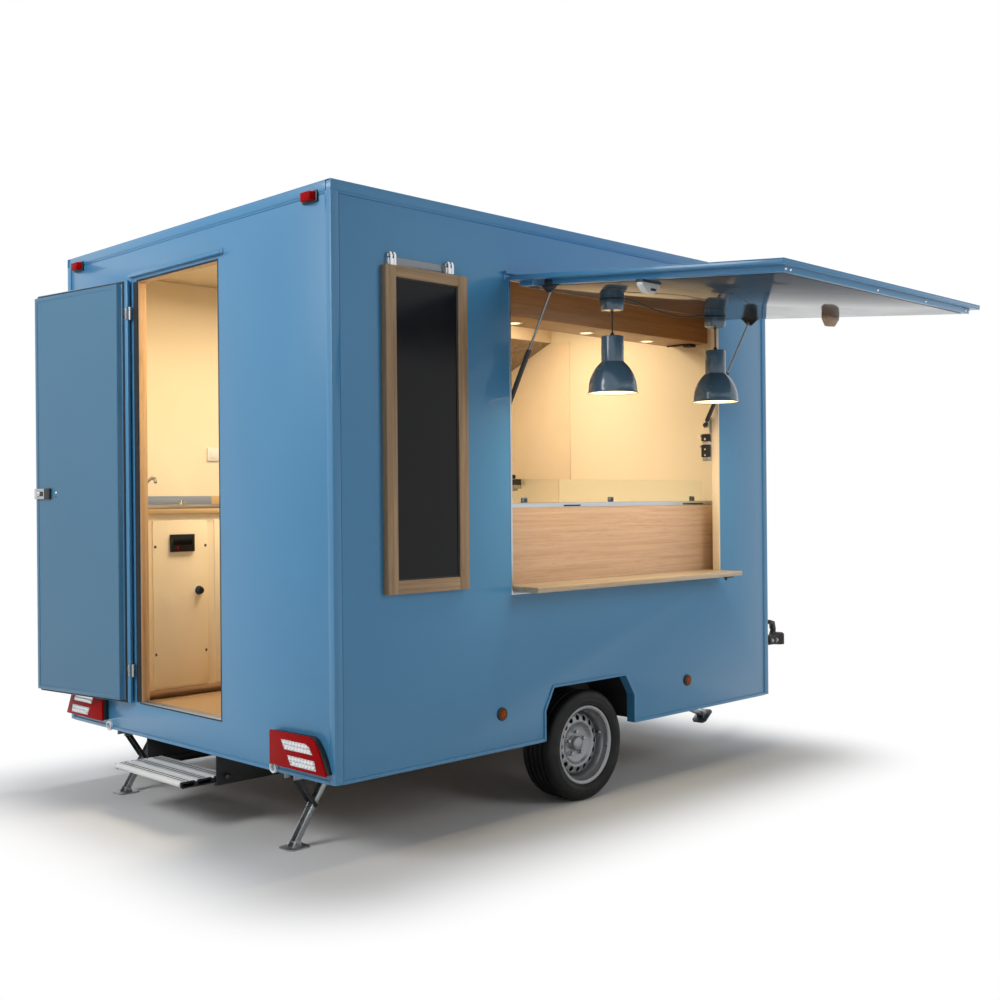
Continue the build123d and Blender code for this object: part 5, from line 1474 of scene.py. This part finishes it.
# Cabinet seen through the door: worktop edging, a screwed access panel, its control unit and a knob
cabinet = {
    "y": 1560, "x": (42, 1880), "panel": ((102, 534), (402, 1343)), "panelThick": 6, "nextPanel": (40, 640),
    "control": ((192, 1190), (324, 1275)), "controlThick": 18, "knob": (350, 996),
    "screw": ((0, 2.5), (4, 2), (7, 0), (0, 0)), "button": ((0, 6), (5, 5.5), (6, 4), (6, 0), (0, 0)),
    "knobSide": ((0, 28), (13, 27), (17, 23), (18, 8), (22, 6), (22, 0)),
    "knobRing": ((18, 0), (18, 3), (26, 3), (27, 1.5), (27, 0), (18, 0)),
}
cabinetY = cabinet["y"]
cabinetX0, cabinetX1 = cabinet["x"]
(panelX0, panelZ0), (panelX1, panelZ1) = cabinet["panel"]
panelY, unitY = cabinetY - cabinet["panelThick"], cabinetY - cabinet["controlThick"]
edging = ((cabinetX0 - 2, cabinetY - 13, 1374), (cabinetX1, cabinetY - 1, 1400))
addBoxPiece("worktop_edging", [edging], beigeLaminate, bevel=1.5, slot="cream_laminate")
panelSpans = ((panelX0, panelX1), [panelX1 + reach for reach in cabinet["nextPanel"]])
panels = [((x0, panelY, panelZ0), (x1, cabinetY, panelZ1)) for x0, x1 in panelSpans]
addBoxPiece("cabinet_panels", panels, creamLaminate, bevel=1.5, slot="cream_laminate")
plinth = (
    ((cabinetX0, cabinetY + 30, 482), (cabinetX1, cabinetY + 41, 528)),
    ((cabinetX0, cabinetY - 3, 505), (cabinetX1, cabinetY + 2, 526)),
)
addBoxPiece("cabinet_plinth", plinth, oakAlong, bevel=1, slot="oak")
screws = [at(x, panelY, z) for x in (panelX0 + 12, panelX1 - 12) for z in (panelZ0 + 163, panelZ1 - 126)]
addTurnedPiece("cabinet_screws", cabinet["screw"], screws, towardsRight, 16, rodSteel, slot="zinc")
(unitX0, unitZ0), (unitX1, unitZ1) = cabinet["control"]
knobX, knobZ = cabinet["knob"]
knobSeat = at(knobX, panelY, knobZ)
bm = bmesh.new()
addBox(bm, (unitX0, unitY, unitZ0), (unitX1, panelY, unitZ1))
addTurned(bm, cabinet["knobSide"], knobSeat, towardsRight, 28)
addPiece("cabinet_control_unit", bm, blackPlastic, bevel=2, slot="black_plastic")
window = ((unitX0 + 14, unitY - 2, unitZ0 + 34), (unitX1 - 14, unitY, unitZ1 - 22))
addBoxPiece("control_window", [window], slateBoard, bevel=0.5, slot="black_plastic")
buttonSeat = at(unitX0 + 36, unitY, unitZ0 + 20)
addTurnedPiece("control_button", cabinet["button"], [buttonSeat], towardsRight, 18, redLens, slot="red_lens")
addTurnedPiece("knob_ring", cabinet["knobRing"], [knobSeat], towardsRight, 28, whiteNylon, slot="lamp_enamel")
print("back counter dressed")

# Hatch side: glass clamps, joint covers in the worktop edge, and the flap locks on their steel plate
clampX = (1180, 1799, 2474)
clamps = [((x - 14, 102, 1412), (x + 14, 120, 1440)) for x in clampX]
addBoxPiece("glass_clamps", clamps, rodSteel, bevel=2, slot="zinc")
marks = [((x - 7, 100, 1419), (x + 7, 102, 1433)) for x in clampX]
marks += [((x0, 98.5, 1396), (x1, 100, 1404)) for x0, x1 in ((1440, 1560), (2380, 2560))]
addBoxPiece("worktop_joint_marks", marks, blackPlastic, bevel=0.4, slot="black_plastic")
lock = {
    "plate": ((2558, 41, 1628), (2563, 98, 1776)), "x": (2544, 2558), "y": (46, 96),
    "z": ((1735, 1772), (1650, 1716)), "rollerY": 104, "roller": 6, "screwY": 72,
    "screw": ((0, 2), (4, 1.6), (6, 0), (0, 0)),
}
addBoxPiece("lock_plate", [lock["plate"]], stainless, bevel=1, slot="zinc")
(lockX0, lockX1), (lockY0, lockY1) = lock["x"], lock["y"]
cases = [((lockX0, lockY0, low), (lockX1, lockY1, high)) for low, high in lock["z"]]
addBoxPiece("lock_cases", cases, blackPlastic, bevel=1.5, slot="black_plastic")
bm = bmesh.new()
for low, high in lock["z"]:
    rollerZ = high - 10
    start, end = (at(x, lock["rollerY"], rollerZ) for x in (lockX0 - 4, lockX1 + 2))
    addRod(bm, start, end, lock["roller"])
    addBox(bm, (lockX0 + 2, lockY1 - 4, rollerZ - 5), (lockX1 - 2, lock["rollerY"] + 2, rollerZ + 5))
    for z in (low + 10, high - 24):
        addTurned(bm, lock["screw"], at(lockX0, lock["screwY"], z), towardsRear, 14)
addPiece("lock_rollers", bm, chrome, slot="chrome_rod")
print("hatch fittings added")

# Overrun device on the drawbar: bolted head plate, guide tube, rubber bellows, push rod and handbrake
hitch = {
    "y": bodyWidth / 2, "z": 400, "headX": (4330, 4560), "headZ": (355, 445), "guideX": (4560, 4600),
    "bellowsX": (4600, 4690), "folds": 6, "bellows": (29, 39), "rod": 22, "rodEnd": 4722, "rodLap": 4,
    "boltX": (4368, 4440, 4512), "boltIn": 20, "leverY": (1064, 1076),
    "bolt": ((0, 0), (15, 0), (15, 3), (11, 3), (11, 11), (9, 13), (0, 13)),
}
beam = {"x": (2960, 4560), "out": (640, 50), "width": 65}
hitchY, hitchZ = hitch["y"], hitch["z"]


# how far a drawbar beam's inner face stands from the centre line
def beamOut(x):
    (x0, x1), (out0, out1) = beam["x"], beam["out"]
    return out0 + (out1 - out0) * (x - x0) / (x1 - x0)


def onHitch(x):
    return at(x, hitchY, hitchZ)


headEnds = [(x, beamOut(x)) for x in hitch["headX"]]
headOutline = [(x, hitchY - out) for x, out in headEnds]
headOutline += [(x, hitchY + out) for x, out in reversed(headEnds)]
guideStart, guideEnd = hitch["guideX"]
guide = guideEnd - guideStart
guideSide = ((30, 0), (52, 0), (52, 10), (42, 12), (40, 16), (40, guide - 3), (37, guide), (22, guide))
bm = bmesh.new()
addProfile(bm, "z", headOutline, *hitch["headZ"])
bevelEdges(bm, 4)
addTurned(bm, guideSide, onHitch(guideStart), "x", 40)
addPiece("overrun_head", bm, galvanised, slot="black_steel", replaced=("overrun_device",))
bm = bmesh.new()
for side, outward in ((-1, towardsRight), (1, -towardsRight)):
    for x in hitch["boltX"]:
        onTop = hitchY + side * (beamOut(x) - hitch["boltIn"])
        onSide = hitchY + side * (beamOut(x) + beam["width"] - 1)
        addTurned(bm, hitch["bolt"], at(x, onTop, hitch["headZ"][1]), "z", 6)
        addTurned(bm, hitch["bolt"], at(x, onSide, hitchZ), outward, 6)
addPiece("drawbar_bolts", bm, zincPlated, slot="zinc")
bellowsStart, bellowsEnd = hitch["bellowsX"]
bellowsLength = bellowsEnd - bellowsStart
valley, crest = hitch["bellows"]
fold = bellowsLength / hitch["folds"]
foldSide = ((valley, 0.06), (crest - 2, 0.38), (crest, 0.5), (crest - 2, 0.62), (valley, 0.94))
bellowsSide = [(hitch["rod"], 0), (valley, 0)]
for number in range(hitch["folds"]):
    bellowsSide += [(radius, (number + share) * fold) for radius, share in foldSide]
bellowsSide += [(valley, bellowsLength), (hitch["rod"], bellowsLength), (hitch["rod"], 0)]
addTurnedPiece(
    "overrun_bellows", bellowsSide, [onHitch(bellowsStart)], "x", 40, sealRubber,
    smooth=50, slot="black_steel",
)
bm = bmesh.new()
addRod(bm, onHitch(bellowsEnd - hitch["rodLap"]), onHitch(hitch["rodEnd"]), hitch["rod"], 32)
addPiece("push_rod", bm, rodSteel, slot="zinc")

# Handbrake: bent lever with a rubber grip, and the toothed plate that holds it
brake = {
    "lever": ((4380, 445), (4410, 445), (4380, 600), (4322, 684), (4298, 666), (4348, 592)),
    "grip": ((4325, 690), (4296, 668), (4268, 744), (4274, 752), (4297, 761), (4303, 758)), "gripOver": 5,
    "centre": (4398, 445), "radius": 92, "teeth": 9, "tooth": 4, "turn": (40, 150), "footHalf": 60,
    "pin": 8, "pinX": 4394, "pinZ": 470,
}
leverY0, leverY1 = hitch["leverY"]
bm = bmesh.new()
addProfile(bm, "y", brake["lever"], leverY0, leverY1)
addPiece("handbrake_lever", bm, blackSteel, bevel=2, slot="black_steel")
bm = bmesh.new()
addProfile(bm, "y", brake["grip"], leverY0 - brake["gripOver"], leverY1 + brake["gripOver"])
addPiece("handbrake_grip", bm, sealRubber, bevel=5, segments=3, slot="black_steel")
sectorX, sectorZ = brake["centre"]
firstTurn, lastTurn = brake["turn"]
sector = [(sectorX - brake["footHalf"], sectorZ), (sectorX + brake["footHalf"], sectorZ)]
for step in range(2 * brake["teeth"] + 1):
    turn = math.radians(firstTurn + (lastTurn - firstTurn) * step / (2 * brake["teeth"]))
    reach = brake["radius"] + (brake["tooth"] if step % 2 else 0)
    sector.append((sectorX + math.cos(turn) * reach, sectorZ + math.sin(turn) * reach))
bm = bmesh.new()
addProfile(bm, "y", sector, leverY1 + 3, leverY1 + 9)
pinStart, pinEnd = (at(brake["pinX"], y, brake["pinZ"]) for y in (leverY0 - 8, leverY1 + 16))
addRod(bm, pinStart, pinEnd, brake["pin"], 20)
addPiece("handbrake_sector", bm, zincPlated, slot="zinc")
print("overrun device made")

# Coupling: the cast shell, its moulded release handle, and two cross bolts through the sleeve
coupling = {
    "handle": (
        (4787, 477), (4813, 470), (4825, 470), (4825, 476),
        (4809, 532), (4749, 547), (4741, 519), (4784, 508),
    ),
    "handleHalf": 18, "boltX": (4742, 4800), "boltOut": 34,
}
addSoftCopy("coupling_head", 1.2, castIron)
bm = bmesh.new()
addProfile(bm, "y", coupling["handle"], hitchY - coupling["handleHalf"], hitchY + coupling["handleHalf"])
addPiece("coupling_handle", bm, blackPlastic, bevel=5, segments=3, slot="black_plastic")
bm = bmesh.new()
for x in coupling["boltX"]:
    for outward in (towardsRight, -towardsRight):
        addTurned(bm, hitch["bolt"], onHitch(x) + outward * coupling["boltOut"] * mm, outward, 6)
addPiece("coupling_bolts", bm, zincPlated, slot="zinc")

# Jockey wheel: split clamp, mast tube with collars, spindle, crank with its grip, fork and roller
jockey = {
    "x": 4400, "y": 1322, "reach": 120, "trail": 45, "rollerZ": 100, "nutOut": 41,
    "mast": ((0, 345), (27, 345), (30, 348), (30, 664), (33, 666), (33, 690), (28, 694), (14, 696), (0, 696)),
    "spindle": ((0, 690), (12, 690), (12, 756), (0, 756)),
    "clamp": ((30, 366), (41, 366), (43, 369), (43, 421), (41, 424), (30, 424)),
    "lugX": (4372, 4428), "lugY": 1312, "lugZ": (362, 428),
    "rods": (
        ((4400, 1362, 395), (4400, 1398, 395), 8, 20),
        ((4364, 1398, 395), (4436, 1398, 395), 6, 20),
        ((4400, 1312, 756), (4400, 1322, 756), 4, 16),
    ),
    "crank": ((4388, 1308, 756), (4412, 1454, 770)),
    "grip": ((0, 770), (11, 770), (14, 776), (13, 800), (14, 828), (11, 838), (0, 840)),
    "tyre": ((66, 24), (70, 30), (88, 30), (95, 27), (99, 22), (100, 17)),
    "hub": ((0, 34), (12, 34), (20, 32), (20, 22), (26, 16), (58, 14), (62, 22), (68, 24)),
    "nut": ((0, 0), (14, 0), (14, 2), (10, 2), (10, 9), (0, 10)),
}
mastFoot = at(jockey["x"], jockey["y"], 0)
bm = bmesh.new()
addTurned(bm, jockey["mast"], mastFoot, "z", 40)
addTurned(bm, jockey["spindle"], mastFoot, "z", 24)
addPiece("jockey_mast", bm, zincPlated, slot="zinc", replaced=("jockey_stand",))
bm = bmesh.new()
addTurned(bm, jockey["clamp"], mastFoot, "z", 40)
lug = [(x, hitchY + beamOut(x) + beam["width"]) for x in jockey["lugX"]]
lug += [(x, jockey["lugY"]) for x in reversed(jockey["lugX"])]
addProfile(bm, "z", lug, *jockey["lugZ"])
bevelEdges(bm, 3)
addPiece("jockey_clamp", bm, galvanised, slot="zinc")
bm = bmesh.new()
for start, end, radius, steps in jockey["rods"]:
    addRod(bm, at(*start), at(*end), radius, steps)
addBox(bm, *jockey["crank"])
bevelEdges(bm, 2)
addPiece("jockey_crank", bm, zincPlated, slot="zinc")
gripFoot = at(jockey["x"], jockey["y"] + jockey["reach"], 0)
addTurnedPiece(
    "jockey_grip", jockey["grip"], [gripFoot], "z", 28, blackPlastic, smooth=50, slot="black_plastic"
)
addSoftCopy("jockey_fork", 0.8)


# one half of a roller's section with its mirror image
def bothSides(half):
    return [(radius, -out) for radius, out in half] + list(reversed(half))


rollerHub = at(jockey["x"] - jockey["trail"], jockey["y"], jockey["rollerZ"])
tyreSide = bothSides(jockey["tyre"])
addTurnedPiece(
    "jockey_tyre", tyreSide + tyreSide[:1], [rollerHub], "y", 64, tyreRubber, "jockey_roller",
    slot="tyre_rubber", replaced=("jockey_roller",),
)
addTurnedPiece(
    "jockey_hub", bothSides(jockey["hub"]), [rollerHub], "y", 48, rimSilver, "jockey_roller",
    slot="rim_silver",
)
bm = bmesh.new()
for outward in (towardsRight, -towardsRight):
    addTurned(bm, jockey["nut"], rollerHub + outward * jockey["nutOut"] * mm, outward, 6)
addPiece("jockey_axle_nuts", bm, zincPlated, "jockey_fork", slot="zinc")
print("drawbar fittings made")


# 1 where a surface is seen by the camera, in a reflection or through glass, 0 where it only lights
def seenShare(tree):
    path = addNode(tree, "ShaderNodeLightPath").outputs
    mirrored = addNode(
        tree, "ShaderNodeMath", links={0: path["Is Camera Ray"], 1: path["Is Glossy Ray"]},
        operation="MAXIMUM",
    )
    return addNode(
        tree, "ShaderNodeMath", links={0: mirrored.outputs[0], 1: path["Is Transmission Ray"]},
        operation="MAXIMUM",
    ).outputs[0]


# Floor: pale grey near the trailer, keeping its shadow, and running out to white further off; the grey is
# partly painted shadow that deepens the shade round the trailer
stage = {
    "size": 60, "tone": "#d8d8d8", "nearEdge": 0.1, "farEdge": 0.85, "light": "#f2f4f8", "strength": 0.26,
}
pureWhite = (1, 1, 1, 1)
bm = bmesh.new()
bmesh.ops.create_grid(bm, x_segments=1, y_segments=1, size=stage["size"])
floorMesh = bpy.data.meshes.new("floor")
bm.to_mesh(floorMesh)
bm.free()
studioFloor = bpy.data.objects.new("floor", floorMesh)
scene.collection.objects.link(studioFloor)
floorPaper, tree, shader, coord = startMaterial(
    "matt_white_paper", Roughness=0.9, Base_Color=hexColour(stage["tone"])
)
middle = at(bodyLength / 2, bodyWidth / 2, 0)
halfBody = Vector((bodyLength, bodyWidth, 0)) / 2 * mm
away = addNode(tree, "ShaderNodeVectorMath", {1: middle}, {0: coord}, operation="SUBTRACT")
away = addNode(tree, "ShaderNodeVectorMath", links={0: away.outputs[0]}, operation="ABSOLUTE")
away = addNode(tree, "ShaderNodeVectorMath", {1: halfBody}, {0: away.outputs[0]}, operation="SUBTRACT")
away = addNode(tree, "ShaderNodeVectorMath", {1: (0, 0, 0)}, {0: away.outputs[0]}, operation="MAXIMUM")
away = addNode(tree, "ShaderNodeVectorMath", links={0: away.outputs[0]}, operation="LENGTH")
fade = addNode(
    tree, "ShaderNodeMapRange", {"From Min": stage["nearEdge"], "From Max": stage["farEdge"]},
    {"Value": away.outputs["Value"]}, interpolation_type="SMOOTHSTEP",
)
share = addNode(
    tree, "ShaderNodeMath", links={0: fade.outputs[0], 1: seenShare(tree)}, operation="MULTIPLY"
)
white = addNode(tree, "ShaderNodeEmission", {"Color": pureWhite, "Strength": 1})
mixed = addNode(
    tree, "ShaderNodeMixShader", links={0: share.outputs[0], 1: shader.outputs[0], 2: white.outputs[0]}
)
tree.links.new(mixed.outputs[0], tree.nodes["Material Output"].inputs["Surface"])
floorMesh.materials.append(floorPaper)

# World: white where it is seen, a soft grey-white as light
world = bpy.data.worlds.new("studio")
scene.world = world
world.use_nodes = True
tree = world.node_tree
soft = tree.nodes["Background"]
soft.inputs["Color"].default_value = hexColour(stage["light"])
soft.inputs["Strength"].default_value = stage["strength"]
plain = addNode(tree, "ShaderNodeBackground", {"Color": pureWhite, "Strength": 1})
mixed = addNode(
    tree, "ShaderNodeMixShader", links={0: seenShare(tree), 1: soft.outputs[0], 2: plain.outputs[0]}
)
tree.links.new(mixed.outputs[0], tree.nodes["World Output"].inputs["Surface"])


def addLamp(name, shape, size, watts, colour, inMirrors):
    light = bpy.data.lights.new(name, "AREA")
    light.shape = shape
    light.size, light.size_y = size
    light.energy = watts
    light.color = hexColour(colour)[:3]
    holder = bpy.data.objects.new(name, light)
    holder.visible_glossy = inMirrors
    scene.collection.objects.link(holder)
    return holder


# Studio lamps outside; the side one shows no hard disc in the glossy wall
studioTable = (
    # name, place, aim, size, watts
    ("key", (-4000, 1300, 4100), (0, 1000, 2200), 2.6, 155),
    ("side", (2900, -5200, 3500), (1900, 0, 1500), 3.0, 82),
    ("top", (1950, 1750, 7000), (1500, 1100, 0), 2.6, 360),
    ("back", (7000, 5600, 4800), (1800, 1600, 1200), 4.0, 90),
)
for name, place, aim, size, watts in studioTable:
    holder = addLamp(name, "DISK", (size, size), watts, "#ffffff", name != "side")
    way = at(*aim) - at(*place)
    holder.matrix_world = Matrix.Translation(at(*place)) @ way.to_track_quat("-Z", "Y").to_matrix().to_4x4()

# The trailer's own warm light
cabinTable = (
    # name, place, length and width, watts, what it hangs from
    ("cabin_rear", (720, 1100, 2560), (0.9, 0.5), 28, None),
    ("cabin_front", (2150, 1150, 2560), (0.9, 0.5), 16, None),
    ("pendant_rear", (1322, -305, 1894), (0.18, 0.18), 5, lampPieces["shades"]),
    ("pendant_front", (2108, -305, 1894), (0.18, 0.18), 5, lampPieces["shades"]),
)
for name, place, size, watts, carrier in cabinTable:
    holder = addLamp(name, "RECTANGLE", size, watts, "#ffeccb", False)
    holder.location = at(*place)
    holder.parent = carrier
scene.view_settings.view_transform = "Standard"
print("stage and lamps set")
